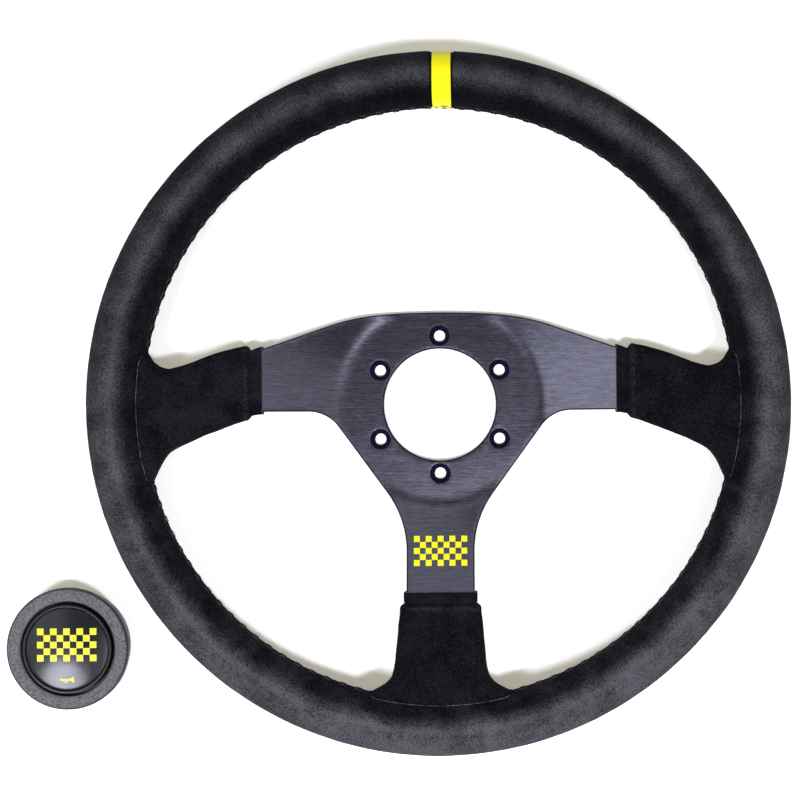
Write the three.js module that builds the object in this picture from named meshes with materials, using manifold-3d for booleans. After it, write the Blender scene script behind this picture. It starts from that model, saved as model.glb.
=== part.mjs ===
// A three-spoke competition steering wheel and, beside it, its plug-in horn button.
// Millimetres, +Z up. The wheel lies on the back of its hub with the driver's side up and
// twelve o'clock towards +Y. The origin is on the surface, under the middle of the pair.
import * as THREE from "three";
import { mergeVertices } from "three/addons/utils/BufferGeometryUtils.js";
import Module from "manifold-3d";

const wasm = await Module();
wasm.setup();

// Driving sizes of the rim
const RIM_OUTER_RADIUS = 175;
const GRIP_WIDTH = 28; // across the rim, in the plane of the wheel
const GRIP_DEPTH = 29; // through the rim, front to back
const DISH = 39; // from the hub's back face to the front of the rim
const LEATHER = 1.1;
const SKIN_GAP = 0.3; // left round every piece that lies in or under another
const SEAM_SLIT = 0.8; // between the two edges of the wrap, on the inside of the rim
const THREAD_RADIUS = 0.5;
const SEAM_BEAD = 0.9; // how far the stitched joint round a boot stands off the leather
const MARK_WIDTH = 9.5; // the centre mark, a strip with parallel sides
const MARK_SHIFT = 2.6; // the strip lies this far to the right of the top of the wheel
const MARK_GROOVE = 0.9; // open groove on each side of the strip
const MARK_SINK = 0.2; // the strip is thinner than the wrap

// Driving sizes of the frame
const PLATE_THICKNESS = 4.5;
const HUB_FLAT_RADIUS = 48; // the hub is flat this far out, and then the spokes rise
const BEND_LENGTH = 8; // length of each of the two bends in a spoke
const CENTRE_HOLE_RADIUS = 28.5;
const BOLT_CIRCLE_RADIUS = 35;
const BOLT_COUNT = 6;
const BOLT_HOLE_RADIUS = 2.85;
const COUNTERSINK_RADIUS = 5.1;
const HOOP_WIDTH = 12;
const HOOP_THICKNESS = 5;
const RIVET_SHANK_RADIUS = 2.4;
const RIVET_HOLE_GAP = 0.2;
const RIVET_HEAD_RADIUS = 4;
const RIVET_HEAD_HEIGHT = 1.6;
const RIVET_EDGE = 5.2; // from a rivet's axis to the edge of its spoke

// Driving sizes of the spoke plate's outline, seen from the front with the hub at 0, 0
const ARCH_TOP = 46.9; // the crest of the upper edge
const ARCH_HALF = 60; // where the upper edge becomes straight
const ARCH_SHOULDER = 38.8;
const ARCH_CREST_REACH = 36; // how far the crest stays level
const ARCH_END_REACH = 14; // how far the straight part pulls on the curve
const UPPER_EDGE_SLOPE_SHARE = 0.355; // fall of the upper edge for each length outwards
const LOWER_EDGE_SLOPE_SHARE = 0.3; // the same for the lower edge, outside the knee
const SIDE_SPOKE_LOWER = 3.3; // the lower edge lies this far under the hub's centre
const SIDE_SPOKE_KNEE = 92; // where the lower edge starts to fall
const ARMPIT_START = 67;
const ARMPIT_RADIUS = 19;
const ARMPIT_TURN = THREE.MathUtils.degToRad(54);
const LOWER_SPOKE_HALF = 17.2;
const LOWER_SPOKE_FLARE_RADIUS = 50;

// Driving sizes of the padded boots, from their hems to the rim
const SIDE_BOOT_LENGTH = 58;
const BOTTOM_BOOT_LENGTH = 52.5;
const HEM_LENGTH = 5.5; // leather glued straight on the plate
const BOOT_HALF_DEPTH = 7.5; // where a boot meets the rim
const BOOT_FLARE = 20; // how far a boot's edge stands off the plate's at the rim
const BOOT_THREAD_RADIUS = 0.45;

// Driving sizes of the horn button
const BUTTON_BEARING = THREE.MathUtils.degToRad(213); // where it lies, from three o'clock
const BUTTON_FREE_GAP = 17.4; // between the rim and the button
const FLANGE_RADIUS = 30.6;
const FLANGE_THICKNESS = 4;
const FLANGE_ROUNDING = 1.4;
const BEZEL_OPENING_RADIUS = 23.6;
const BARREL_CLEARANCE = 0.5; // between the barrel and the wheel's centre hole
const BARREL_WALL = 2.4;
const SKIRT_WALL = 1.2; // the lower barrel, round the base
const BARREL_DEPTH = 15; // from the flange's underside to the end of the skirt
const BASE_THICKNESS = 2;
const CAP_RADIUS = 22.4;
const CAP_PROUD = 0.4; // the cap's rim stands this far above the bezel
const CAP_CHAMFER = 0.5;
const CAP_ROOF = 1.7;
const CAP_WALL = 1.8;
const COLLAR_THICKNESS = 1.4;
const COLLAR_GAP = 0.5; // between the collar and the barrel
const PRESS_TRAVEL = 2.5;
const BADGE_RADIUS = 20.6;
const BADGE_RECESS = 1.2;
const BADGE_EDGE = 1;
const BADGE_CROWN = 0.7;
const CONTACT_SHEET = 0.5;
const CONTACT_BRIM = 4;
const FIXED_RING_INNER = 14;
const FIXED_RING_OUTER = 21.2;
const SPRING_FOOT_RADIUS = 8.6; // the spring is a cone, so that its turns nest when pressed
const SPRING_TOP_RADIUS = 4.9;
const SPRING_WIRE_RADIUS = 0.45;
const SPRING_TURNS = 3;
const SPRING_SEAT_RADIUS = 9.5;
const BOSS_RADIUS = 1.8;
const BOSS_HEIGHT = 4.2;
const BASE_SCREWS = 3;
const SCREW_SHANK_RADIUS = 0.9;
const SCREW_HEAD_RADIUS = 1.8;
const SCREW_HEAD_HEIGHT = 1.3;
const SCREW_LENGTH = 5;
const PILOT_DEPTH = 3.5; // of the screw's hole in a boss
const EYELET_RADIUS = 1.3;
const EYELET_HEAD_RADIUS = 2;
const EYELET_HEAD_HEIGHT = 0.4;
const EYELET_OFFSET = 16.5; // from the button's axis to the ring's eyelet
const SPADE_WIDTH = 6.3;
const SPADE_THICKNESS = 0.8;
const SPADE_FOOT = 7;
const SPADE_BLADE = 6;
const GRIP_RING_RADIUS = 1;
const GRIP_RING_DEPTH = 2.4; // from the flange's underside to the ring
const GRIP_RING_STANDOFF = 0.4; // how far the ring stands proud of the centre hole's wall
const FIT = 0.2; // running clearance of the small pieces

// How finely round things are cut
const ROUND = 56;
const GRIP_SIDES = 12;
const HOLE_SIDES = 16;
const BUTTON_SIDES = 32;
const CUT_OVERRUN = 5; // how far a cutting tool runs past what it cuts

// What follows from the driving sizes
const RIM_RADIUS = RIM_OUTER_RADIUS - GRIP_WIDTH / 2;
const RIM_INNER_RADIUS = RIM_OUTER_RADIUS - GRIP_WIDTH;
const RIM_MID = DISH - GRIP_DEPTH / 2;
const DISH_RISE = RIM_MID - PLATE_THICKNESS;
const HOOP_INNER_RADIUS = RIM_RADIUS - HOOP_WIDTH / 2;
const HOOP_OUTER_RADIUS = RIM_RADIUS + HOOP_WIDTH / 2;
const DISH_END_RADIUS = HOOP_INNER_RADIUS - BEND_LENGTH / 2;
const HOOP_TOP = RIM_MID + HOOP_THICKNESS;
const FOAM_INSET = LEATHER + SKIN_GAP;
const HEM_DEPTH = PLATE_THICKNESS / 2 + FOAM_INSET;
const BUTTON_DISTANCE = RIM_OUTER_RADIUS + BUTTON_FREE_GAP + FLANGE_RADIUS;
const BUTTON_RIGHT = BUTTON_DISTANCE * Math.cos(BUTTON_BEARING);
const BUTTON_UP = BUTTON_DISTANCE * Math.sin(BUTTON_BEARING);
const HUB_X = (FLANGE_RADIUS - BUTTON_RIGHT - RIM_OUTER_RADIUS) / 2; // centres the pair on X

const materials = {
  anodised: new THREE.MeshStandardMaterial({ color: 0x2b2b31, metalness: 0.8, roughness: 0.42 }),
  aluminium: new THREE.MeshStandardMaterial({ color: 0xb9bbbe, metalness: 0.9, roughness: 0.45 }),
  foam: new THREE.MeshStandardMaterial({ color: 0x1f1f20, metalness: 0, roughness: 0.85 }),
  suede: new THREE.MeshStandardMaterial({ color: 0x1a1a1d, metalness: 0, roughness: 1 }),
  yellow: new THREE.MeshStandardMaterial({ color: 0xf5e400, metalness: 0, roughness: 0.6 }),
  thread: new THREE.MeshStandardMaterial({ color: 0x2c2c33, metalness: 0, roughness: 0.8 }),
  plastic: new THREE.MeshStandardMaterial({ color: 0x6c6c71, metalness: 0, roughness: 0.7 }),
  gloss: new THREE.MeshStandardMaterial({ color: 0x121215, metalness: 0, roughness: 0.12 }),
  brass: new THREE.MeshStandardMaterial({ color: 0xc9a14a, metalness: 1, roughness: 0.35 }),
  steel: new THREE.MeshStandardMaterial({ color: 0xa8aaad, metalness: 1, roughness: 0.3 }),
  rubber: new THREE.MeshStandardMaterial({ color: 0x151515, metalness: 0, roughness: 0.9 }),
};

// A closed geometry as a manifold solid, with its faces turned to point out
function solid(geometry) {
  const bare = new THREE.BufferGeometry();
  bare.setAttribute("position", geometry.getAttribute("position").clone());
  if (geometry.index) bare.setIndex(geometry.index.clone());
  const merged = mergeVertices(bare, 1e-4);
  const at = merged.getAttribute("position");
  const corners = merged.index.array;
  const kept = [];
  let volume = 0;
  const [a, b, c] = [new THREE.Vector3(), new THREE.Vector3(), new THREE.Vector3()];
  for (let i = 0; i < corners.length; i += 3) {
    const [p, q, r] = [corners[i], corners[i + 1], corners[i + 2]];
    if (p === q || q === r || r === p) continue;
    kept.push(p, q, r);
    a.fromBufferAttribute(at, p);
    b.fromBufferAttribute(at, q);
    c.fromBufferAttribute(at, r);
    volume += a.dot(b.cross(c));
  }
  if (volume < 0) kept.reverse();
  return new wasm.Manifold(
    new wasm.Mesh({ numProp: 3, vertProperties: at.array, triVerts: new Uint32Array(kept) }),
  );
}

function geometryOf(manifold) {
  const { numProp, vertProperties, triVerts } = manifold.getMesh();
  const flat = new THREE.BufferGeometry();
  const places = new Float32Array((vertProperties.length / numProp) * 3);
  for (let i = 0; i * numProp < vertProperties.length; i++)
    places.set(vertProperties.subarray(i * numProp, i * numProp + 3), i * 3);
  flat.setAttribute("position", new THREE.BufferAttribute(places, 3));
  flat.setIndex(new THREE.BufferAttribute(triVerts, 1));
  flat.computeVertexNormals();
  return flat;
}

function piece(name, shape, material) {
  const mesh = new THREE.Mesh(geometryOf(shape), materials[material]);
  mesh.name = name;
  return mesh;
}

const joined = (shapes) => shapes.reduce((all, next) => all.add(next));
const cut = (shape, ...tools) => tools.flat().reduce((left, tool) => left.subtract(tool), shape);

// A profile of [radius, height] pairs, from the bottom up on its outer side, turned about Z
function turned(profile, sides, x = 0, y = 0) {
  const points = profile.map(([radius, height]) => new THREE.Vector2(radius, height));
  const geometry = new THREE.LatheGeometry(points, sides);
  geometry.rotateX(Math.PI / 2);
  geometry.translate(x, y, 0);
  return solid(geometry);
}

// A ring with a rectangular section, or a disc where the inner radius is zero
function ring(inner, outer, low, high, sides, x = 0, y = 0) {
  const outline = [
    [inner, low],
    [outer, low],
    [outer, high],
    [inner, high],
  ];
  return turned(inner ? [...outline, outline[0]] : outline, sides, x, y);
}

const upright = (radius, low, high, at) => ring(0, radius, low, high, HOLE_SIDES / 2, ...at);

// A ring with an elliptical section
function ovalRing(radius, height, halfWidth, halfDepth, sides, sectionSides) {
  const profile = [];
  for (let i = 0; i <= sectionSides; i++) {
    const angle = (2 * Math.PI * (i % sectionSides)) / sectionSides;
    profile.push([radius + halfWidth * Math.cos(angle), height + halfDepth * Math.sin(angle)]);
  }
  return turned(profile, sides);
}

function block(width, length, height, x, y, z) {
  return solid(new THREE.BoxGeometry(width, length, height).translate(x, y, z));
}

function tube(points, radius, sides, steps) {
  const section = new THREE.Shape();
  for (let i = 0; i < sides; i++) {
    const angle = (2 * Math.PI * i) / sides;
    const [x, y] = [radius * Math.cos(angle), radius * Math.sin(angle)];
    if (i === 0) section.moveTo(x, y);
    else section.lineTo(x, y);
  }
  const path = new THREE.CatmullRomCurve3(points.map((p) => new THREE.Vector3(...p)));
  return solid(new THREE.ExtrudeGeometry(section, { steps, extrudePath: path }));
}

// The pressed dish of the spoke plate: how far its back face has risen at a radius
function rise(radius) {
  const slope = DISH_RISE / (DISH_END_RADIUS - HUB_FLAT_RADIUS - BEND_LENGTH);
  const bend = (length) => (slope * length ** 2) / (2 * BEND_LENGTH);
  const run = radius - HUB_FLAT_RADIUS;
  const left = DISH_END_RADIUS - radius;
  if (run <= 0) return 0;
  if (left <= 0) return DISH_RISE;
  if (run < BEND_LENGTH) return bend(run);
  if (left < BEND_LENGTH) return DISH_RISE - bend(left);
  return slope * (run - BEND_LENGTH / 2);
}

const upperEdge = (x) => ARCH_SHOULDER - UPPER_EDGE_SLOPE_SHARE * (x - ARCH_HALF);
const lowerEdge = (x) =>
  -SIDE_SPOKE_LOWER - LOWER_EDGE_SLOPE_SHARE * Math.max(0, x - SIDE_SPOKE_KNEE);

// The right half of the plate's outline, from the crest clockwise to the lower spoke's end
function halfOutline() {
  const end = RIM_OUTER_RADIUS;
  const armpitY = -SIDE_SPOKE_LOWER - ARMPIT_RADIUS;
  const [sin, cos] = [Math.sin(ARMPIT_TURN), Math.cos(ARMPIT_TURN)];
  const armpitEnd = [ARMPIT_START - ARMPIT_RADIUS * sin, armpitY + ARMPIT_RADIUS * cos];
  const flareX = LOWER_SPOKE_HALF + LOWER_SPOKE_FLARE_RADIUS;
  const flareStart = flareX - LOWER_SPOKE_FLARE_RADIUS * sin;
  const fall = ((armpitEnd[0] - flareStart) * sin) / cos;
  const flareY = armpitEnd[1] - fall - LOWER_SPOKE_FLARE_RADIUS * cos;
  const path = new THREE.Path();
  path.moveTo(0, ARCH_TOP);
  path.bezierCurveTo(
    ARCH_CREST_REACH, ARCH_TOP,
    ARCH_HALF - ARCH_END_REACH, upperEdge(ARCH_HALF - ARCH_END_REACH),
    ARCH_HALF, ARCH_SHOULDER,
  );
  path.lineTo(end, upperEdge(end));
  path.lineTo(end, lowerEdge(end));
  path.lineTo(SIDE_SPOKE_KNEE, -SIDE_SPOKE_LOWER);
  path.absarc(ARMPIT_START, armpitY, ARMPIT_RADIUS, Math.PI / 2, Math.PI / 2 + ARMPIT_TURN);
  path.absarc(
    flareX, flareY, LOWER_SPOKE_FLARE_RADIUS, Math.PI / 2 + ARMPIT_TURN, Math.PI,
  );
  path.lineTo(LOWER_SPOKE_HALF, -end);
  return path.getPoints(5);
}

// Moves every corner of a closed outline outwards by the same distance
function grown(outline, distance) {
  const clockwise = THREE.ShapeUtils.isClockWise(outline) ? 1 : -1;
  const normal = (from, to) => {
    const step = to.clone().sub(from).normalize();
    return new THREE.Vector2(-step.y, step.x).multiplyScalar(clockwise);
  };
  return outline.map((corner, i) => {
    const before = normal(outline[(i + outline.length - 1) % outline.length], corner);
    const after = normal(corner, outline[(i + 1) % outline.length]);
    const miter = before.clone().add(after);
    const reach = (2 * distance) / miter.lengthSq();
    return corner.clone().addScaledVector(miter, reach);
  });
}

// The three-spoke blank, pressed to the dish, with `gap` added all round it
function pressedPlate(gap) {
  const half = halfOutline().filter((p, i, all) => !i || p.distanceTo(all[i - 1]) > SKIN_GAP / 2);
  const left = half.slice(1).map((p) => new THREE.Vector2(-p.x, p.y));
  const outline = grown([...half, ...left.reverse()], gap);
  const height = DISH + CUT_OVERRUN;
  const blank = new THREE.ExtrudeGeometry(new THREE.Shape(outline), {
    depth: height + CUT_OVERRUN,
    bevelEnabled: false,
  });
  blank.translate(0, 0, -CUT_OVERRUN);
  const stops = [0, HUB_FLAT_RADIUS];
  for (const share of [0.5, 1]) stops.push(HUB_FLAT_RADIUS + BEND_LENGTH * share);
  for (const share of [1, 0]) stops.push(DISH_END_RADIUS - BEND_LENGTH * share);
  stops.push(HOOP_OUTER_RADIUS + gap);
  const under = stops.map((radius) => [radius, rise(radius) - gap]);
  const over = stops.map((radius) => [radius, rise(radius) + PLATE_THICKNESS + gap]).reverse();
  return solid(blank).intersect(turned([...under, ...over], ROUND));
}

// Where the two rivets of each spoke stand on the hoop: the middles of the spokes' ends
function rivetPlaces() {
  const [upper, lower] = [upperEdge(RIM_RADIUS), lowerEdge(RIM_RADIUS)];
  const lean = Math.asin((upper + lower) / 2 / RIM_RADIUS);
  const ends = {
    right: { middle: lean, half: (upper - lower) / 2 },
    left: { middle: Math.PI - lean, half: (upper - lower) / 2 },
    bottom: { middle: -Math.PI / 2, half: LOWER_SPOKE_HALF },
  };
  const places = [];
  for (const [spoke, { middle, half }] of Object.entries(ends))
    for (const [i, side] of [-1, 1].entries()) {
      const angle = middle + (side * (half - RIVET_EDGE)) / RIM_RADIUS;
      const at = [RIM_RADIUS * Math.cos(angle), RIM_RADIUS * Math.sin(angle)];
      places.push({ name: `hoop_rivet_${spoke}_${i + 1}`, at });
    }
  return places;
}

function spokePlate() {
  const over = PLATE_THICKNESS + CUT_OVERRUN;
  const sink = COUNTERSINK_RADIUS - BOLT_HOLE_RADIUS; // the depth of a cone of 90 degrees
  const boltProfile = [
    [0, -CUT_OVERRUN],
    [BOLT_HOLE_RADIUS, -CUT_OVERRUN],
    [BOLT_HOLE_RADIUS, PLATE_THICKNESS - sink],
    [COUNTERSINK_RADIUS + CUT_OVERRUN, over],
    [0, over],
  ];
  const tools = [ring(0, CENTRE_HOLE_RADIUS, -CUT_OVERRUN, over, ROUND)];
  for (let i = 0; i < BOLT_COUNT; i++) {
    const angle = Math.PI / 2 + (2 * Math.PI * i) / BOLT_COUNT;
    const at = [BOLT_CIRCLE_RADIUS * Math.cos(angle), BOLT_CIRCLE_RADIUS * Math.sin(angle)];
    tools.push(turned(boltProfile, HOLE_SIDES, ...at));
  }
  return cut(pressedPlate(0), tools, rivetHoles());
}

const rivetHoles = () =>
  rivetPlaces().map(({ at }) =>
    ring(0, RIVET_SHANK_RADIUS + RIVET_HOLE_GAP, 0, DISH, HOLE_SIDES / 2, ...at),
  );

const hoop = (gap) =>
  ring(HOOP_INNER_RADIUS - gap, HOOP_OUTER_RADIUS + gap, RIM_MID - gap, HOOP_TOP + gap, ROUND);

// A headed rivet through the hoop and the spoke's end
function rivet(at) {
  const crown = RIVET_HEAD_RADIUS / 2;
  const profile = [
    [0, DISH_RISE - RIVET_HEAD_HEIGHT],
    [crown, DISH_RISE - RIVET_HEAD_HEIGHT],
    [RIVET_HEAD_RADIUS, DISH_RISE - RIVET_HEAD_HEIGHT / 2],
    [RIVET_HEAD_RADIUS, DISH_RISE],
    [RIVET_SHANK_RADIUS, DISH_RISE],
    [RIVET_SHANK_RADIUS, HOOP_TOP],
    [RIVET_HEAD_RADIUS, HOOP_TOP],
    [RIVET_HEAD_RADIUS, HOOP_TOP + RIVET_HEAD_HEIGHT / 2],
    [crown, HOOP_TOP + RIVET_HEAD_HEIGHT],
    [0, HOOP_TOP + RIVET_HEAD_HEIGHT],
  ];
  return turned(profile, HOLE_SIDES / 2, ...at);
}

// A boot's shape at stations from the end of its hem to the inside of the rim. Each row holds
// the place as a share of that run, then the flare of the upper or left edge, the flare of the
// lower or right edge and the padding's depth as shares, and the roundness as a share of depth.
const SIDE_BOOT_SHARES = [
  [0, 0, 0, 0, 0.38],
  [0.05, 0.135, 0.055, 0.4, 0.5],
  [0.18, 0.19, 0.075, 0.5, 0.57],
  [0.39, 0.21, 0.125, 0.62, 0.68],
  [0.6, 0.195, 0.2, 0.75, 0.8],
  [0.745, 0.215, 0.3, 0.87, 0.9],
  [0.82, 0.32, 0.49, 0.92, 1],
  [0.895, 0.52, 0.84, 1, 1],
  [0.955, 0.8, 1.12, 1, 1],
  [1.09, 1, 1.27, 1, 1],
];
const BOTTOM_BOOT_SHARES = [
  [0, 0, 0, 0, 0.38],
  [0.045, 0.075, 0.075, 0.4, 0.5],
  [0.175, 0.115, 0.115, 0.5, 0.57],
  [0.385, 0.16, 0.16, 0.62, 0.68],
  [0.6, 0.21, 0.21, 0.75, 0.8],
  [0.745, 0.28, 0.28, 0.87, 0.9],
  [0.82, 0.42, 0.42, 0.92, 1],
  [0.895, 0.72, 0.72, 1, 1],
  [0.955, 1, 1, 1, 1],
  [1.09, 1.22, 1.22, 1, 1],
];

const spokes = {
  left: {
    hem: RIM_INNER_RADIUS - SIDE_BOOT_LENGTH,
    shares: SIDE_BOOT_SHARES,
    edges: (along) => [upperEdge(along), lowerEdge(along)],
    place: (along, across) => [-along, across],
  },
  right: {
    hem: RIM_INNER_RADIUS - SIDE_BOOT_LENGTH,
    shares: SIDE_BOOT_SHARES,
    edges: (along) => [upperEdge(along), lowerEdge(along)],
    place: (along, across) => [along, across],
  },
  bottom: {
    hem: RIM_INNER_RADIUS - BOTTOM_BOOT_LENGTH,
    shares: BOTTOM_BOOT_SHARES,
    edges: () => [LOWER_SPOKE_HALF, -LOWER_SPOKE_HALF],
    place: (along, across) => [across, -along],
  },
};

// The sizes of a boot's section at each of its stations, the first at the edge of the hem
function bootStations(spoke) {
  const hemEnd = spoke.hem + HEM_LENGTH;
  const rows = spoke.shares.map((row) => [hemEnd + row[0] * (RIM_INNER_RADIUS - hemEnd), ...row]);
  rows.unshift([spoke.hem, ...spoke.shares[0]]);
  return rows.map(([along, place, upperFlare, lowerFlare, padding, roundness]) => {
    const [upper, lower] = spoke.edges(along);
    const high = upper + FOAM_INSET + upperFlare * BOOT_FLARE;
    const low = lower - FOAM_INSET - lowerFlare * BOOT_FLARE;
    const depth = HEM_DEPTH + padding * (BOOT_HALF_DEPTH - HEM_DEPTH);
    const across = (high + low) / 2;
    const plateMiddle = rise(Math.hypot(along, across)) + PLATE_THICKNESS / 2;
    const lift = (RIM_MID - DISH_RISE - PLATE_THICKNESS / 2) * Math.min(1, place);
    const half = (high - low) / 2;
    return { along, across, half, depth, corner: roundness * depth, middle: plateMiddle + lift };
  });
}

// A boot's outer form, drawn in by `inset`, from the station `first` on
function bootForm(spoke, inset, first = 0) {
  const stations = bootStations(spoke).slice(first);
  const cornerSteps = 2;
  const positions = [];
  for (const s of stations) {
    const corner = Math.max(s.corner - inset, SKIN_GAP);
    for (let quarter = 0; quarter < 4; quarter++)
      for (let i = 0; i <= cornerSteps; i++) {
        const angle = (Math.PI / 2) * (quarter + i / cornerSteps);
        const [right, up] = [quarter === 0 || quarter === 3 ? 1 : -1, quarter < 2 ? 1 : -1];
        const across = s.across + right * (s.half - inset - corner) + corner * Math.cos(angle);
        const z = s.middle + up * (s.depth - inset - corner) + corner * Math.sin(angle);
        positions.push(...spoke.place(s.along, across), z);
      }
  }
  const sides = 4 * (cornerSteps + 1);
  const faces = [];
  for (let k = 0; k + 1 < stations.length; k++)
    for (let i = 0; i < sides; i++) {
      const [a, b] = [k * sides + i, k * sides + ((i + 1) % sides)];
      faces.push(a, a + sides, b, b, a + sides, b + sides);
    }
  const last = (stations.length - 1) * sides;
  for (let i = 1; i + 1 < sides; i++) faces.push(0, i, i + 1, last, last + i + 1, last + i);
  const geometry = new THREE.BufferGeometry();
  geometry.setAttribute("position", new THREE.Float32BufferAttribute(positions, 3));
  geometry.setIndex(faces);
  return solid(geometry);
}

const FOAM_STATION = 2; // the first station with padding under the leather
const boots = (inset, first) => Object.values(spokes).map((s) => bootForm(s, inset, first));
const grip = (inset) =>
  ovalRing(RIM_RADIUS, RIM_MID, GRIP_WIDTH / 2 - inset, GRIP_DEPTH / 2 - inset, ROUND, GRIP_SIDES);

function rimFoam() {
  const form = joined([grip(FOAM_INSET), ...boots(FOAM_INSET, FOAM_STATION)]);
  const reach = RIVET_HEAD_HEIGHT + SKIN_GAP;
  const rivets = rivetPlaces().map(({ at }) =>
    upright(RIVET_HEAD_RADIUS + 2 * SKIN_GAP, DISH_RISE - reach, HOOP_TOP + reach, at),
  );
  return cut(form, pressedPlate(SKIN_GAP), hoop(SKIN_GAP), rivets);
}

// The slit between the edges of the wrap, and the slot for the centre mark
const seamSlit = () =>
  ring(
    RIM_INNER_RADIUS - CUT_OVERRUN, RIM_INNER_RADIUS + FOAM_INSET,
    RIM_MID - SEAM_SLIT / 2, RIM_MID + SEAM_SLIT / 2, ROUND,
  );
const markSlot = (width) =>
  block(width, 2 * GRIP_WIDTH, 2 * GRIP_DEPTH, MARK_SHIFT, RIM_RADIUS, RIM_MID);

function rimWrap() {
  const skin = grip(0).subtract(grip(LEATHER));
  return cut(skin, boots(-SKIN_GAP), seamSlit(), markSlot(MARK_WIDTH + 2 * MARK_GROOVE));
}

function centreMark() {
  const skin = grip(MARK_SINK).subtract(grip(LEATHER)).intersect(markSlot(MARK_WIDTH));
  return skin.subtract(seamSlit());
}

function boot(spoke) {
  const skin = bootForm(spoke, 0).subtract(bootForm(spoke, LEATHER, FOAM_STATION));
  return cut(skin, pressedPlate(SKIN_GAP), grip(-SKIN_GAP));
}

// The stitched joint that runs round a boot where it meets the rim
function bootJoint(spoke) {
  const both = grip(-SEAM_BEAD).intersect(bootForm(spoke, -SEAM_BEAD));
  return cut(both, grip(-SKIN_GAP), bootForm(spoke, -SKIN_GAP));
}

// The lacing on the inside of the rim, one piece in each of the three windows
function rimLacing() {
  const standoff = SKIN_GAP + THREAD_RADIUS;
  const radius = RIM_INNER_RADIUS - standoff;
  const lace = ovalRing(radius, RIM_MID, THREAD_RADIUS, THREAD_RADIUS, ROUND, 5);
  const runs = cut(lace, boots(-SEAM_BEAD - SKIN_GAP)).decompose();
  const middle = (run) => {
    const { min, max } = run.boundingBox();
    return [(min[0] + max[0]) / 2, (min[1] + max[1]) / 2];
  };
  const name = (run) => {
    const [x, y] = middle(run);
    if (y > 0) return "rim_lacing_top";
    return x < 0 ? "rim_lacing_lower_left" : "rim_lacing_lower_right";
  };
  return runs.map((run) => piece(name(run), run, "thread"));
}

// The closing seam down the back of a boot
function bootBackSeam(spoke) {
  const standoff = SKIN_GAP + BOOT_THREAD_RADIUS;
  const points = bootStations(spoke)
    .slice(0, -3)
    .map((s) => [...spoke.place(s.along, s.across), s.middle - s.depth - standoff]);
  const steps = 2 * points.length;
  return tube(points, BOOT_THREAD_RADIUS, 5, steps);
}

function buildWheel() {
  const wheel = new THREE.Group();
  wheel.add(piece("spoke_plate", spokePlate(), "anodised"));
  wheel.add(piece("rim_hoop", cut(hoop(0), rivetHoles()), "aluminium"));
  for (const { name, at } of rivetPlaces()) wheel.add(piece(name, rivet(at), "aluminium"));
  wheel.add(piece("rim_foam", rimFoam(), "foam"));
  wheel.add(piece("rim_wrap", rimWrap(), "suede"));
  wheel.add(piece("centre_mark", centreMark(), "yellow"));
  for (const [name, spoke] of Object.entries(spokes)) {
    wheel.add(piece(`spoke_boot_${name}`, boot(spoke), "suede"));
    wheel.add(piece(`boot_joint_seam_${name}`, bootJoint(spoke), "thread"));
    wheel.add(piece(`boot_back_seam_${name}`, bootBackSeam(spoke), "thread"));
  }
  wheel.add(...rimLacing());
  return wheel;
}

// Heights in the horn button, which stands on the end of its skirt
const BARREL_RADIUS = CENTRE_HOLE_RADIUS - BARREL_CLEARANCE;
const BARREL_INNER = BARREL_RADIUS - BARREL_WALL;
const SKIRT_INNER = BARREL_RADIUS - SKIRT_WALL;
const BEZEL_TOP = BARREL_DEPTH + FLANGE_THICKNESS;
const COLLAR_TOP = BARREL_DEPTH - SKIN_GAP;
const COLLAR_UNDER = COLLAR_TOP - COLLAR_THICKNESS;
const SHEET_TOP = COLLAR_UNDER - CONTACT_SHEET - PRESS_TRAVEL - SKIN_GAP;
const SKIRT_DEPTH = SHEET_TOP - CONTACT_SHEET; // from the end of the skirt to the base's seat
const BASE_UNDER = SKIRT_DEPTH - BASE_THICKNESS;
const COLLAR_RADIUS = BARREL_INNER - COLLAR_GAP;
const CAP_TOP = BEZEL_TOP + CAP_PROUD;
const CAP_RECESS = CAP_TOP - BADGE_RECESS;
const CAP_CEILING = CAP_RECESS - CAP_ROOF;
const CAP_INNER = CAP_RADIUS - CAP_WALL;
const BOSS_CIRCLE_RADIUS = CAP_RADIUS + 2 * FIT + BOSS_RADIUS;

// The places of the three screws, and of the bosses that they hold
function screwPlaces() {
  const places = [];
  for (let i = 0; i < BASE_SCREWS; i++) {
    const angle = Math.PI / 2 + (2 * Math.PI * i) / BASE_SCREWS;
    places.push([BOSS_CIRCLE_RADIUS * Math.cos(angle), BOSS_CIRCLE_RADIUS * Math.sin(angle)]);
  }
  return places;
}

const notches = (low, high) =>
  screwPlaces().map((at) => upright(BOSS_RADIUS + 2 * FIT, low, high, at));

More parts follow.
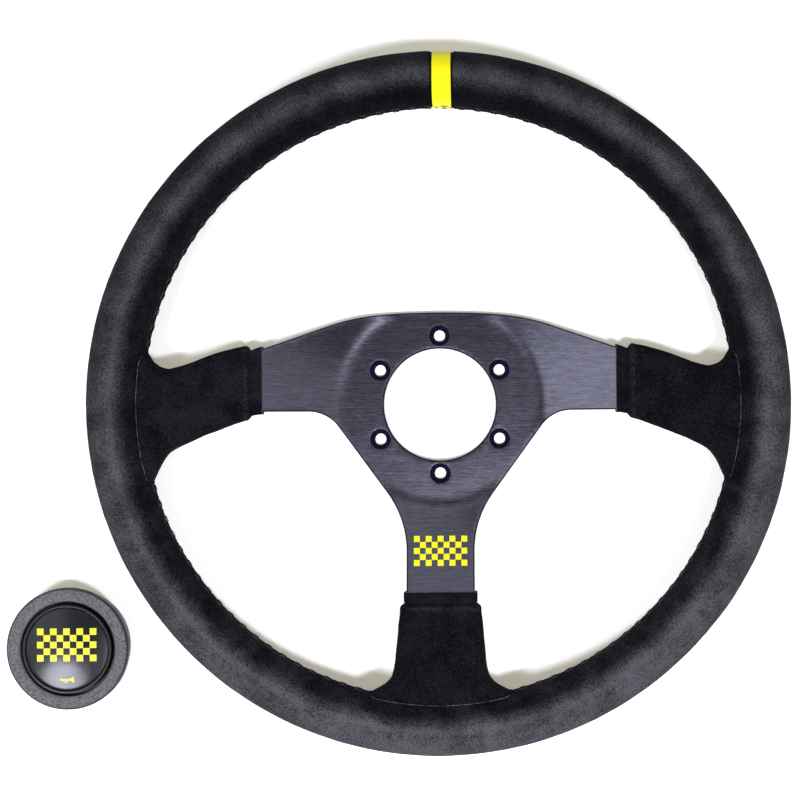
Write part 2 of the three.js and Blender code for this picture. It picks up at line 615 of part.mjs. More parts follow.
function hornBezel() {
  const groove = BARREL_DEPTH - GRIP_RING_DEPTH;
  const grooveHalf = GRIP_RING_RADIUS + FIT;
  const grooveFloor = gripRingRadius() - GRIP_RING_RADIUS - FIT;
  const rounded = [];
  for (const share of [0, 0.5, 1]) {
    const angle = (Math.PI / 2) * share;
    rounded.push([
      FLANGE_RADIUS - FLANGE_ROUNDING * (1 - Math.cos(angle)),
      BEZEL_TOP - FLANGE_ROUNDING * (1 - Math.sin(angle)),
    ]);
  }
  const profile = [
    [SKIRT_INNER, 0],
    [BARREL_RADIUS, 0],
    [BARREL_RADIUS, groove - grooveHalf],
    [grooveFloor, groove - grooveHalf],
    [grooveFloor, groove + grooveHalf],
    [BARREL_RADIUS, groove + grooveHalf],
    [BARREL_RADIUS, BARREL_DEPTH],
    [FLANGE_RADIUS, BARREL_DEPTH],
    ...rounded,
    [BEZEL_OPENING_RADIUS + CAP_CHAMFER, BEZEL_TOP],
    [BEZEL_OPENING_RADIUS, BEZEL_TOP - CAP_CHAMFER],
    [BEZEL_OPENING_RADIUS, BARREL_DEPTH],
    [BARREL_INNER, BARREL_DEPTH],
    [BARREL_INNER, SKIRT_DEPTH],
    [SKIRT_INNER, SKIRT_DEPTH],
    [SKIRT_INNER, 0],
  ];
  const pilot = SCREW_SHANK_RADIUS + FIT;
  const bosses = screwPlaces().map((at) =>
    upright(BOSS_RADIUS, SKIRT_DEPTH, SKIRT_DEPTH + BOSS_HEIGHT, at),
  );
  const pilots = screwPlaces().map((at) => upright(pilot, 0, SKIRT_DEPTH + PILOT_DEPTH, at));
  return cut(joined([turned(profile, BUTTON_SIDES), ...bosses]), pilots);
}

function pushCap() {
  const profile = [
    [CAP_INNER, COLLAR_UNDER],
    [COLLAR_RADIUS, COLLAR_UNDER],
    [COLLAR_RADIUS, COLLAR_TOP],
    [CAP_RADIUS, COLLAR_TOP],
    [CAP_RADIUS, CAP_TOP - CAP_CHAMFER],
    [CAP_RADIUS - CAP_CHAMFER, CAP_TOP],
    [BADGE_RADIUS + FIT, CAP_TOP],
    [BADGE_RADIUS + FIT, CAP_RECESS],
    [0, CAP_RECESS],
    [0, CAP_CEILING],
    [CAP_INNER, CAP_CEILING],
    [CAP_INNER, COLLAR_UNDER],
  ];
  return turned(profile, BUTTON_SIDES).subtract(joined(notches(0, BARREL_DEPTH)));
}

// The printed face of the cap under its clear crown
function capBadge() {
  const profile = [
    [0, CAP_RECESS],
    [BADGE_RADIUS, CAP_RECESS],
  ];
  for (const share of [1, 0.7, 0.35, 0])
    profile.push([BADGE_RADIUS * share, CAP_RECESS + BADGE_EDGE + BADGE_CROWN * (1 - share ** 2)]);
  return turned(profile, BUTTON_SIDES);
}

// A pressed cup under the cap's roof, whose brim closes the circuit on the fixed ring
function movingContact() {
  const outer = CAP_INNER - FIT;
  const inner = outer - CONTACT_SHEET;
  const brim = outer + CONTACT_BRIM;
  const [under, over] = [COLLAR_UNDER - CONTACT_SHEET, COLLAR_UNDER];
  const profile = [
    [inner, under],
    [brim, under],
    [brim, over],
    [outer, over],
    [outer, CAP_CEILING],
    [0, CAP_CEILING],
    [0, CAP_CEILING - CONTACT_SHEET],
    [inner, CAP_CEILING - CONTACT_SHEET],
    [inner, under],
  ];
  return turned(profile, BUTTON_SIDES).subtract(joined(notches(0, BARREL_DEPTH)));
}

function springPoints(stepsPerTurn) {
  const low = SHEET_TOP + SKIN_GAP + SPRING_WIRE_RADIUS;
  const high = CAP_CEILING - CONTACT_SHEET - SKIN_GAP - SPRING_WIRE_RADIUS;
  const points = [];
  const steps = stepsPerTurn * SPRING_TURNS;
  for (let i = 0; i <= steps; i++) {
    const angle = (2 * Math.PI * i) / stepsPerTurn;
    const share = i / steps;
    const radius = SPRING_FOOT_RADIUS + (SPRING_TOP_RADIUS - SPRING_FOOT_RADIUS) * share;
    points.push([radius * Math.cos(angle), radius * Math.sin(angle), low + (high - low) * share]);
  }
  return points;
}

// The least gap between the surfaces of one turn of the spring and the next
function springGap(points, stepsPerTurn) {
  let least = Infinity;
  for (let i = 0; i < points.length; i++)
    for (let j = i + stepsPerTurn / 2; j < points.length; j++) {
      const apart = new THREE.Vector3(...points[i]).distanceTo(new THREE.Vector3(...points[j]));
      least = Math.min(least, apart - 2 * SPRING_WIRE_RADIUS);
    }
  return least;
}

function returnSpring() {
  const stepsPerTurn = 8;
  const points = springPoints(stepsPerTurn);
  const gap = springGap(points, stepsPerTurn);
  console.log(`least gap between the return spring's turns: ${gap.toFixed(2)} mm`);
  return tube(points, SPRING_WIRE_RADIUS, 5, points.length - 1);
}

const fixedContact = () =>
  cut(
    ring(FIXED_RING_INNER, FIXED_RING_OUTER, SKIRT_DEPTH, SHEET_TOP, BUTTON_SIDES),
    upright(EYELET_RADIUS + FIT, 0, BARREL_DEPTH, [0, -EYELET_OFFSET]),
  );
const springSeat = () =>
  ring(EYELET_RADIUS + FIT, SPRING_SEAT_RADIUS, SKIRT_DEPTH, SHEET_TOP, HOLE_SIDES);

function hornBase() {
  const plate = ring(0, SKIRT_INNER - SKIN_GAP, BASE_UNDER, SKIRT_DEPTH, BUTTON_SIDES);
  const holes = screwPlaces().map((at) =>
    upright(SCREW_SHANK_RADIUS + FIT, 0, BARREL_DEPTH, at),
  );
  const eyelets = [0, -EYELET_OFFSET].map((y) =>
    upright(EYELET_RADIUS + FIT, 0, BARREL_DEPTH, [0, y]),
  );
  return cut(plate, holes, eyelets);
}

// A pan-headed screw from under the base into a boss
function baseScrew(at) {
  const head = BASE_UNDER - SCREW_HEAD_HEIGHT;
  const profile = [
    [0, head],
    [SCREW_HEAD_RADIUS * 0.7, head],
    [SCREW_HEAD_RADIUS, head + SCREW_HEAD_HEIGHT / 2],
    [SCREW_HEAD_RADIUS, BASE_UNDER],
    [SCREW_SHANK_RADIUS, BASE_UNDER],
    [SCREW_SHANK_RADIUS, BASE_UNDER + SCREW_LENGTH - SCREW_SHANK_RADIUS],
    [0, BASE_UNDER + SCREW_LENGTH],
  ];
  return turned(profile, HOLE_SIDES / 2, ...at);
}

// An eyelet from a terminal's foot, through the base, to the contact above it
function eyelet(y) {
  const under = BASE_UNDER - SPADE_THICKNESS;
  const profile = [
    [0, under - EYELET_HEAD_HEIGHT],
    [EYELET_HEAD_RADIUS, under - EYELET_HEAD_HEIGHT],
    [EYELET_HEAD_RADIUS, under],
    [EYELET_RADIUS, under],
    [EYELET_RADIUS, SHEET_TOP],
    [EYELET_HEAD_RADIUS, SHEET_TOP],
    [EYELET_HEAD_RADIUS, SHEET_TOP + EYELET_HEAD_HEIGHT],
    [0, SHEET_TOP + EYELET_HEAD_HEIGHT],
  ];
  return turned(profile, HOLE_SIDES / 2, 0, y);
}

// A spade terminal: a foot under the base and a blade that points down into the skirt
function spade(y) {
  const top = BASE_UNDER;
  const footMiddle = y + SPADE_FOOT / 2 - SPADE_WIDTH / 2;
  const foot = block(
    SPADE_WIDTH, SPADE_FOOT, SPADE_THICKNESS, 0, footMiddle, top - SPADE_THICKNESS / 2,
  );
  const bladeY = footMiddle + SPADE_FOOT / 2 - SPADE_THICKNESS / 2;
  const blade = block(
    SPADE_WIDTH, SPADE_THICKNESS, SPADE_BLADE + SPADE_THICKNESS,
    0, bladeY, top - (SPADE_BLADE + SPADE_THICKNESS) / 2,
  );
  return cut(foot.add(blade), upright(EYELET_RADIUS + FIT, 0, BARREL_DEPTH, [0, y]));
}

const gripRingRadius = () => CENTRE_HOLE_RADIUS + GRIP_RING_STANDOFF - GRIP_RING_RADIUS;
const gripRing = () =>
  ovalRing(
    gripRingRadius(), BARREL_DEPTH - GRIP_RING_DEPTH,
    GRIP_RING_RADIUS, GRIP_RING_RADIUS, BUTTON_SIDES, 6,
  );

function buildHornButton() {
  const button = new THREE.Group();
  button.add(piece("horn_bezel", hornBezel(), "plastic"));
  button.add(piece("horn_base", hornBase(), "plastic"));
  button.add(piece("grip_ring", gripRing(), "rubber"));
  button.add(piece("push_cap", pushCap(), "gloss"));
  button.add(piece("cap_badge", capBadge(), "gloss"));
  button.add(piece("moving_contact", movingContact(), "brass"));
  button.add(piece("fixed_contact", fixedContact(), "brass"));
  button.add(piece("spring_seat", springSeat(), "brass"));
  button.add(piece("return_spring", returnSpring(), "steel"));
  for (const [name, y] of [["spring", 0], ["ring", -EYELET_OFFSET]]) {
    button.add(piece(`eyelet_${name}`, eyelet(y), "brass"));
    button.add(piece(`spade_${name}`, spade(y), "brass"));
  }
  for (const [i, at] of screwPlaces().entries())
    button.add(piece(`base_screw_${i + 1}`, baseScrew(at), "steel"));
  return button;
}

const wheel = buildWheel();
wheel.position.set(HUB_X, 0, 0);
const button = buildHornButton();
button.position.set(HUB_X + BUTTON_RIGHT, BUTTON_UP, 0);

const assembly = new THREE.Group();
assembly.add(wheel, button);

export default assembly;
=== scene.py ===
import math

import bmesh
import bpy
from mathutils import Matrix, Vector, noise
from mathutils.geometry import delaunay_2d_cdt

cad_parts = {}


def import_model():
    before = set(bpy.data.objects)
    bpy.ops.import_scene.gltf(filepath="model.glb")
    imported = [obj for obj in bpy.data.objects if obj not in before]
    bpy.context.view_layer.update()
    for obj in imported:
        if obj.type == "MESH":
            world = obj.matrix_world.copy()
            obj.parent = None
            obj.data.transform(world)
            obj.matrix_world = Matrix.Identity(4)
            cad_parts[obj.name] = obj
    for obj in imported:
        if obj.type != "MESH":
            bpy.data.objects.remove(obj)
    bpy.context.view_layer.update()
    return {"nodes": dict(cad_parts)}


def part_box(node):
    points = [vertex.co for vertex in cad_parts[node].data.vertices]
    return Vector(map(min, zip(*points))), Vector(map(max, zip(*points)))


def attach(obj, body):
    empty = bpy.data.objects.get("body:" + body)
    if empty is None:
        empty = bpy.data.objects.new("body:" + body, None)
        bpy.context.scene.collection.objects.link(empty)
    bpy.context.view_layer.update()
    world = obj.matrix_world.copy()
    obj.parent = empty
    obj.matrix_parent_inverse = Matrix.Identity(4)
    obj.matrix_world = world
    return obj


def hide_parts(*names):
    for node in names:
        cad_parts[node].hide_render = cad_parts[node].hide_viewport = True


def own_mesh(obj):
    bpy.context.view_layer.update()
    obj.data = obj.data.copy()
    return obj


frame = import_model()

# Blender works in metres. Sizes of the object are written in millimetres times MM.
MM = 0.001
UP = Vector((0, 0, 1))

# Places that the frame gives
wrap_low, wrap_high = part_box("rim_wrap")
bezel_low, bezel_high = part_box("horn_bezel")
badge_low, badge_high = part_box("cap_badge")
HUB = Vector(((wrap_low.x + wrap_high.x) / 2, 0, 0))
BUTTON = Vector(((bezel_low.x + bezel_high.x) / 2, (bezel_low.y + bezel_high.y) / 2, 0))
RIM_OUTER_RADIUS = (wrap_high.x - wrap_low.x) / 2
RIM_MID = (wrap_low.z + wrap_high.z) / 2
GRIP_HALF_DEPTH = (wrap_high.z - wrap_low.z) / 2

# Sizes of the wheel
GRIP_HALF_WIDTH = 14 * MM
RIM_RADIUS = RIM_OUTER_RADIUS - GRIP_HALF_WIDTH
RIM_INNER_RADIUS = RIM_OUTER_RADIUS - 2 * GRIP_HALF_WIDTH
PLATE_THICKNESS = 4.5 * MM
HUB_FLAT_RADIUS = 48 * MM
BEND_LENGTH = 8 * MM
HOOP_OUTER_RADIUS = RIM_RADIUS + 6 * MM
DISH_END_RADIUS = RIM_RADIUS - 6 * MM - BEND_LENGTH / 2
DISH_RISE = RIM_MID - PLATE_THICKNESS
CENTRE_HOLE_RADIUS = 28.5 * MM
BOLT_CIRCLE_RADIUS = 35 * MM
BOLT_COUNT = 6
BOLT_HOLE_RADIUS = 2.85 * MM
COUNTERSINK_RADIUS = 5.1 * MM
EDGE_ROUNDING = 0.7 * MM
SHEET_SPACING = 2.6 * MM
ARCH_TOP = 46.9 * MM
ARCH_HALF = 60 * MM
ARCH_SHOULDER = 38.8 * MM
ARCH_CREST_REACH = 36 * MM
ARCH_END_REACH = 14 * MM
UPPER_EDGE_SLOPE = 0.355
LOWER_EDGE_SLOPE = 0.3
SIDE_SPOKE_LOWER = 3.3 * MM
SIDE_SPOKE_KNEE = 92 * MM
ARMPIT_START = 67 * MM
ARMPIT_RADIUS = 19 * MM
ARMPIT_TURN = math.radians(54)
LOWER_SPOKE_HALF = 17.2 * MM
LOWER_SPOKE_FLARE_RADIUS = 50 * MM
PRINT_HEIGHT = 0.04 * MM
SPOKE_PRINT_Y = -74.2 * MM
SPOKE_PRINT_SQUARE = 3 * MM

# Sizes of the leather work
LEATHER = 1.1 * MM
SKIN_GAP = 0.3 * MM
COVER = LEATHER + SKIN_GAP
MARK_WIDTH = 9.5 * MM
MARK_SHIFT = 2.6 * MM
MARK_GROOVE = 0.9 * MM
SIDE_BOOT_LENGTH = 58 * MM
BOTTOM_BOOT_LENGTH = 52.5 * MM
HEM_LENGTH = 5.5 * MM
HEM_DEPTH = PLATE_THICKNESS / 2 + COVER
BOOT_HALF_DEPTH = 7.5 * MM
BOOT_FLARE = 20 * MM
BOOT_REACH = 1.08  # the end of a boot's skin, as a share of the way from its hem to the rim
SEAM_WIDTH = 0.055  # of the groove round the inside of the wrap, in radians of its section
SEAM_DEPTH = 0.8 * MM
JOINT_ROLL_RADIUS = 0.5 * MM
BACK_ROLL_RADIUS = 0.4 * MM
BACK_STITCH_RADIUS = 0.26 * MM
STITCH_RADIUS = 0.2 * MM
STITCH_PITCH = 8 * MM
STITCH_LENGTH = 3.8 * MM
LACE_PITCH = 3.6 * MM
SKIN_SIDES = 112

# The runs of the grip's inside that no boot covers, in degrees clockwise from the top
OPEN_RUNS = {"top": (-79.5, 79.5), "lower_right": (104.5, 165.5), "lower_left": (194.5, 255.5)}

# Sizes of the horn button
BEZEL_TOP = bezel_high.z
FLANGE_RADIUS = (bezel_high.x - bezel_low.x) / 2
FLANGE_THICKNESS = 4 * MM
BARREL_DEPTH = BEZEL_TOP - FLANGE_THICKNESS
BARREL_RADIUS = CENTRE_HOLE_RADIUS - 0.5 * MM
BARREL_INNER = BARREL_RADIUS - 2.4 * MM
SKIRT_INNER = BARREL_RADIUS - 1.2 * MM
SKIRT_DEPTH = 9.5 * MM
BEZEL_OPENING = 23.6 * MM
CAP_RADIUS = 22.4 * MM
CAP_TOP = BEZEL_TOP + 0.4 * MM
CAP_INNER = CAP_RADIUS - 1.8 * MM
CAP_RECESS = badge_low.z
CAP_CEILING = CAP_RECESS - 1.7 * MM
BADGE_RADIUS = 20.6 * MM
RECESS_RADIUS = BADGE_RADIUS + 0.2 * MM
BADGE_EDGE = 1 * MM
BADGE_CROWN = badge_high.z - badge_low.z - BADGE_EDGE
BADGE_PRINT_HEIGHT = 0.02 * MM
BADGE_PRINT_SHIFT = 2.2 * MM
BADGE_PRINT_SQUARE = 3.3 * MM
HORN_SIGN_SHIFT = -15.2 * MM
COLLAR_TOP = BARREL_DEPTH - SKIN_GAP
COLLAR_UNDER = COLLAR_TOP - 1.4 * MM
COLLAR_RADIUS = BARREL_INNER - 0.5 * MM
BOSS_RADIUS = 1.8 * MM
BOSS_CIRCLE_RADIUS = CAP_RADIUS + 0.4 * MM + BOSS_RADIUS
GRIP_RING_RADIUS = 1 * MM
GRIP_RING_CIRCLE = CENTRE_HOLE_RADIUS + 0.4 * MM - GRIP_RING_RADIUS
GRIP_RING_HEIGHT = BARREL_DEPTH - 2.4 * MM

FINE = 192  # sides of the large turned pieces
MERGE = 0.002 * MM  # points nearer than this become one
ON_AXIS = 0.0005 * MM  # a ring so small that its points merge
FLOOR_LIFT = 0.34


# Materials

class Graph:
    """A node tree, with short calls for the nodes used here."""

    def __init__(self, tree):
        self.nodes, self.links = tree.nodes, tree.links
        self.nodes.clear()

    def put(self, node, socket, value):
        """Links a socket to a node's output, or sets its own value."""
        if isinstance(value, bpy.types.NodeSocket):
            self.links.new(value, node.inputs[socket])
        else:
            node.inputs[socket].default_value = value

    def add(self, kind, inputs=None, **settings):
        node = self.nodes.new(kind)
        for key, value in settings.items():
            setattr(node, key, value)
        for socket, value in (inputs or {}).items():
            self.put(node, socket, value)
        return node

    def math(self, operation, first, *others, clamp=False):
        """One operation on two values, or on more of them from left to right."""
        for value in others or (0.0,):
            node = self.add("ShaderNodeMath", {0: first, 1: value}, operation=operation)
            first = node.outputs[0]
        node.use_clamp = clamp
        return first

    def range(self, value, low, high, to_low=0.0, to_high=1.0, smooth=True):
        inputs = {"Value": value, "From Min": low, "From Max": high, "To Min": to_low, "To Max": to_high}
        kind = "SMOOTHSTEP" if smooth else "LINEAR"
        return self.add("ShaderNodeMapRange", inputs, interpolation_type=kind).outputs["Result"]

    def spread(self, value, low=0.0, high=1.0, smooth=True):
        """The middle of a noise's range, stretched from low to high."""
        return self.range(value, 0.3, 0.7, low, high, smooth)

    def mix(self, factor, a, b):
        node = self.add("ShaderNodeMix", {"Factor": factor}, data_type="RGBA")
        for socket, value in ((6, a), (7, b)):
            self.put(node, socket, (*value, 1) if isinstance(value, tuple) else value)
        return node.outputs[2]


class Surface(Graph):
    """A material with one Principled shader."""

    def __init__(self, name):
        self.material = bpy.data.materials.new(name)
        self.material.use_nodes = True
        super().__init__(self.material.node_tree)
        self.shader = self.add("ShaderNodeBsdfPrincipled")
        self.output = self.add("ShaderNodeOutputMaterial", {"Surface": self.shader.outputs["BSDF"]})
        self.place = self.add("ShaderNodeTexCoord").outputs["Object"]

    def set(self, **values):
        """Sets the shader's sockets and gives back the material."""
        for key, value in values.items():
            self.put(self.shader, key.replace("_", " "), value)
        return self.material

    def moved(self, shift=(0, 0, 0), scale=(1, 1, 1)):
        inputs = {"Vector": self.place, "Location": shift, "Scale": scale}
        return self.add("ShaderNodeMapping", inputs).outputs[0]

    def noise(self, scale, detail=2.0, roughness=0.5, vector=None, distortion=0.0):
        inputs = {"Vector": vector or self.place, "Scale": scale, "Detail": detail,
                  "Roughness": roughness, "Distortion": distortion}
        return self.add("ShaderNodeTexNoise", inputs).outputs["Fac"]

    def cells(self, scale, feature="F1"):
        inputs = {"Vector": self.place, "Scale": scale}
        return self.add("ShaderNodeTexVoronoi", inputs, feature=feature).outputs["Distance"]

    def bump(self, height, strength, distance, under=None):
        inputs = {"Height": height, "Strength": strength, "Distance": distance}
        if under:
            inputs["Normal"] = under
        return self.add("ShaderNodeBump", inputs).outputs[0]

    def attribute(self, name):
        return self.add("ShaderNodeAttribute", attribute_name=name).outputs["Fac"]

    def from_axis(self, axis):
        """The distance of a point from a vertical axis."""
        flat = self.moved(shift=(-axis.x, -axis.y, 0), scale=(1, 1, 0))
        return self.add("ShaderNodeVectorMath", {0: flat}, operation="LENGTH").outputs["Value"]


class Suede(Surface):
    """Black suede: a fine nap that lies in patches, with a few specks of lint."""

    def __init__(self, name):
        super().__init__(name)
        self.nap = self.noise(1900, detail=3, roughness=0.75)
        self.clumps = self.noise(900, detail=4, roughness=0.7)
        self.patches = self.noise(55, detail=5, roughness=0.62, distortion=0.5)
        fine = self.range(self.nap, 0.32, 0.68, -0.52, 0.52)
        self.grain = self.math("ADD", fine, self.range(self.clumps, 0.32, 0.68, -0.38, 0.38))

    def tone_slope(self, across, up):
        """A share that grows straight across and up the wheel, by the given amounts over the rim's radius.
        """
        scaled = self.moved(scale=(across / RIM_RADIUS, up / RIM_RADIUS, 0))
        split = self.add("ShaderNodeSeparateXYZ", {0: scaled}).outputs
        return self.math("ADD", split["X"], split["Y"], 1.0)

    def dyed(self, tone, dark, light):
        """The finished material, with a tone that goes from dark to light."""
        colour = self.mix(self.math("ADD", tone, 0.0, clamp=True), dark, light)
        lint = self.range(self.cells(95), 0.013, 0.02, 1.0, 0.0)
        self.set(Base_Color=self.mix(lint, colour, (0.16, 0.16, 0.16)), Roughness=0.95)
        self.set(Specular_IOR_Level=0.03, Sheen_Weight=0.015, Sheen_Roughness=0.5)
        self.set(Sheen_Tint=(0.8, 0.82, 1, 1))
        fine = self.bump(self.nap, 0.6, 0.15 * MM)
        return self.set(Normal=self.bump(self.clumps, 0.4, 0.25 * MM, fine))


def rim_suede():
    """Painted light and shade over a patchy nap: a painted sheen keeps the inside dark and the crest and
    outside light, a painted highlight runs along the crest, and the outside is painted lit towards the
    wheel's foot and shaded at its top.
    """
    g = Suede("rim_suede")
    away = g.from_axis(HUB)

    def across(low, high, top):
        """A tone that grows between two places, in millimetres out from the rim's crest."""
        return g.range(away, RIM_RADIUS + low * MM, RIM_RADIUS + high * MM, 0.0, top)

    # Painted light and shade on the outer slope: lit towards the foot of the wheel and shaded at its top.
    painted_outer_light_and_shade = g.math("MULTIPLY", across(1.5, 8.5, 0.47), g.math("SUBTRACT", g.tone_slope(0.0, -0.43), 1.21))
    # A painted highlight along the crest, which fades again just outside it, stronger towards the lower
    # left.
    painted_crest_highlight = g.math("ADD", across(-3, -0.5, 0.11), across(0, 3, -0.13))
    painted_crest_highlight = g.math("MULTIPLY", painted_crest_highlight, g.tone_slope(-0.55, -0.45))
    # A painted sheen that rises from the dark inside to the crest, with the two marks above.
    painted_light_and_shade = g.math("ADD", across(-8.5, 0.8, 0.47), painted_outer_light_and_shade, painted_crest_highlight)
    # All of this painted light and shade is brighter towards the lower right.
    painted_light_and_shade = g.math("MULTIPLY", painted_light_and_shade, g.tone_slope(0.12, -0.17))
    # Patches of the nap, with painted light that makes them stronger towards the foot of the wheel.
    patches_and_painted_light = g.math("MULTIPLY", g.tone_slope(0.0, -0.6), g.spread(g.patches, 0.02, 0.1))
    tone = g.math("MULTIPLY", g.math("ADD", painted_light_and_shade, patches_and_painted_light), g.spread(g.patches, 0.68, 1.32),
                  g.math("ADD", g.grain, 1.0))
    tone = g.math("ADD", tone, g.math("MULTIPLY", g.grain, 0.09))
    # Painted shade: the wrap goes dark where it tucks into the grooves beside the yellow band.
    tone = g.math("MULTIPLY", tone, g.math("SUBTRACT", 1.0, g.attribute("groove")))
    return g.dyed(tone, (0.002, 0.002, 0.0029), (0.08, 0.08, 0.085))


def boot_suede():
    """Darker than the rim and towards the right, with a painted highlight along the rolled crease behind the
    hem.
    """
    g = Suede("boot_suede")
    tone = g.math("MULTIPLY", g.spread(g.patches, 0.12, 0.46), g.tone_slope(-0.3, 0.0))
    # A painted highlight on the rolled crease behind the hem, broken up by the clumps of the nap.
    painted_fold_highlight = g.math("MULTIPLY", g.attribute("fold"), g.range(g.clumps, 0.35, 0.65, 0.1, 1.1))
    tone = g.math("ADD", tone, painted_fold_highlight, g.math("MULTIPLY", g.grain, 0.6))
    return g.dyed(tone, (0.0015, 0.0015, 0.0024), (0.0185, 0.018, 0.0225))


def times(colour, share):
    return tuple(share * part for part in colour)


def yellow_leather():
    g = Surface("yellow_leather")
    tone = g.noise(120, detail=4)
    g.set(Base_Color=g.mix(g.spread(tone), (0.86, 0.77, 0.006), (0.92, 0.84, 0.012)))
    g.set(Roughness=g.spread(tone, 0.5, 0.62), Specular_IOR_Level=0.3)
    return g.set(Normal=g.bump(g.cells(1500, "DISTANCE_TO_EDGE"), 0.25, 0.05 * MM))


def twisted_thread():
    """Dark waxed thread."""
    g = Surface("dark_thread")
    colour = (0.045, 0.045, 0.06)
    inputs = {"Vector": g.place, "Scale": 700, "Distortion": 1.5}
    ply = g.add("ShaderNodeTexWave", inputs, bands_direction="DIAGONAL").outputs["Fac"]
    g.set(Base_Color=g.mix(ply, times(colour, 0.55), colour), Roughness=0.7)
    return g.set(Normal=g.bump(ply, 0.5, 0.08 * MM))


def joint_thread():
    """The fine thread of the boot joints, half sunk in the nap so that it comes and goes."""
    g = Surface("joint_thread")
    sunk = g.noise(420, detail=4, roughness=0.75)
    g.set(Base_Color=g.mix(g.range(sunk, 0.42, 0.6), (0.008, 0.008, 0.01), (0.1, 0.1, 0.105)), Roughness=0.8)
    return g.set(Normal=g.bump(sunk, 0.3, 0.05 * MM))


def raw_edge():
    """The cut edge of the leather, paler than its face."""
    g = Surface("raw_edge")
    fibre = g.noise(1800, detail=3, roughness=0.7)
    g.set(Base_Color=g.mix(fibre, (0.05, 0.05, 0.055), (0.14, 0.14, 0.145)), Roughness=0.9)
    return g.set(Normal=g.bump(fibre, 0.4, 0.1 * MM))


def brushed_anodised():
    """Black anodised sheet, with brushing lines along X made before it was anodised."""
    g = Surface("brushed_anodised")
    long_lines = g.noise(1, detail=3, roughness=0.65, vector=g.moved(scale=(70, 1700, 300)))
    short_lines = g.noise(1, detail=3, roughness=0.7, vector=g.moved(scale=(260, 3600, 600)))
    clouds = g.noise(30, detail=3, roughness=0.55)
    streaks = g.math("ADD", g.spread(long_lines, -0.4, 0.4, smooth=False),
                     g.spread(short_lines, -0.6, 0.6, smooth=False))
    tone = g.math("ADD", streaks, 0.5, g.spread(clouds, -0.1, 0.1), clamp=True)
    g.set(Base_Color=g.mix(tone, (0.096, 0.095, 0.13), (0.192, 0.19, 0.255)), Metallic=1.0)
    g.set(Roughness=g.range(short_lines, 0.2, 0.8, 0.17, 0.22), Anisotropic=0.2, Anisotropic_Rotation=0.25)
    g.set(Tangent=g.add("ShaderNodeTangent", direction_type="UV_MAP").outputs[0])
    return g.set(Normal=g.bump(long_lines, 0.15, 0.03 * MM, g.bump(short_lines, 0.2, 0.02 * MM)))


def anodised_edge():
    """The rounded edges of the sheet: painted shade, far darker and less metallic than its faces."""
    g = Surface("anodised_edge")
    tone = g.noise(900)
    g.set(Base_Color=g.mix(tone, (0.003, 0.003, 0.014), (0.009, 0.008, 0.028)), Metallic=0.15)
    return g.set(Roughness=g.spread(tone, 0.35, 0.5), Specular_IOR_Level=0.12)


def yellow_print(name, roughness):
    """Screen-printed ink, a little thin at its edges."""
    g = Surface(name)
    thin = g.noise(1400, detail=3, roughness=0.6)
    g.set(Base_Color=g.mix(g.range(thin, 0.25, 0.6), (0.62, 0.54, 0.01), (0.83, 0.77, 0.012)))
    return g.set(Roughness=roughness, Normal=g.bump(thin, 0.1, 0.02 * MM))


def grained_plastic():
    """Dark grey plastic with a spark-eroded grain, and painted shade over its rounded outer edge."""
    g = Surface("grained_plastic")
    grain = g.noise(1600, detail=3, roughness=0.8)
    speck = g.math("ADD", g.spread(grain, -0.7, 0.7), g.spread(g.noise(1100), 0.36, 0.64), clamp=True)
    colour = g.mix(speck, (0.036, 0.036, 0.037), (0.176, 0.176, 0.178))
    # Painted shade: the colour goes dark over the flange's rounded outer edge.
    edge = g.range(g.from_axis(BUTTON), FLANGE_RADIUS - 1.5 * MM, FLANGE_RADIUS - 0.35 * MM)
    g.set(Base_Color=g.mix(edge, colour, (0.022, 0.022, 0.03)))
    g.set(Roughness=g.spread(g.noise(70, detail=3), 0.5, 0.64), Specular_IOR_Level=0.35)
    return g.set(Normal=g.bump(grain, 0.4, 0.07 * MM))


def smooth_plastic(name, colour, roughness, shine=0.3):
    """Moulded plastic with faint smears."""
    g = Surface(name)
    smear = g.noise(60, detail=4, roughness=0.6, distortion=0.6)
    g.set(Base_Color=g.mix(g.range(smear, 0.35, 0.75), colour, times(colour, 1.35)))
    g.set(Roughness=g.range(smear, 0.3, 0.8, roughness, roughness + 0.07), Specular_IOR_Level=shine)
    return g.set(Normal=g.bump(g.noise(900, detail=3, roughness=0.7), 0.12, 0.02 * MM))


def metal(name, colour, roughness):
    """Drawn or pressed metal, with faint lines and a few dull patches."""
    g = Surface(name)
    lines = g.noise(1, vector=g.moved(scale=(300, 1600, 300)))
    dull = g.noise(160, detail=4, roughness=0.6)
    g.set(Base_Color=g.mix(g.range(dull, 0.3, 0.75), colour, times(colour, 0.62)), Metallic=1.0)
    g.set(Roughness=g.range(dull, 0.3, 0.75, roughness, roughness + 0.2))
    return g.set(Normal=g.bump(lines, 0.12, 0.03 * MM))


def soft_black(name, colour, scale):
    """Rubber or moulded foam with a fine skin."""
    g = Surface(name)
    grain = g.noise(scale, detail=3, roughness=0.6)
    g.set(Base_Color=g.mix(grain, colour, times(colour, 1.8)), Roughness=g.spread(grain, 0.6, 0.8))
    return g.set(Normal=g.bump(grain, 0.25, 0.08 * MM))


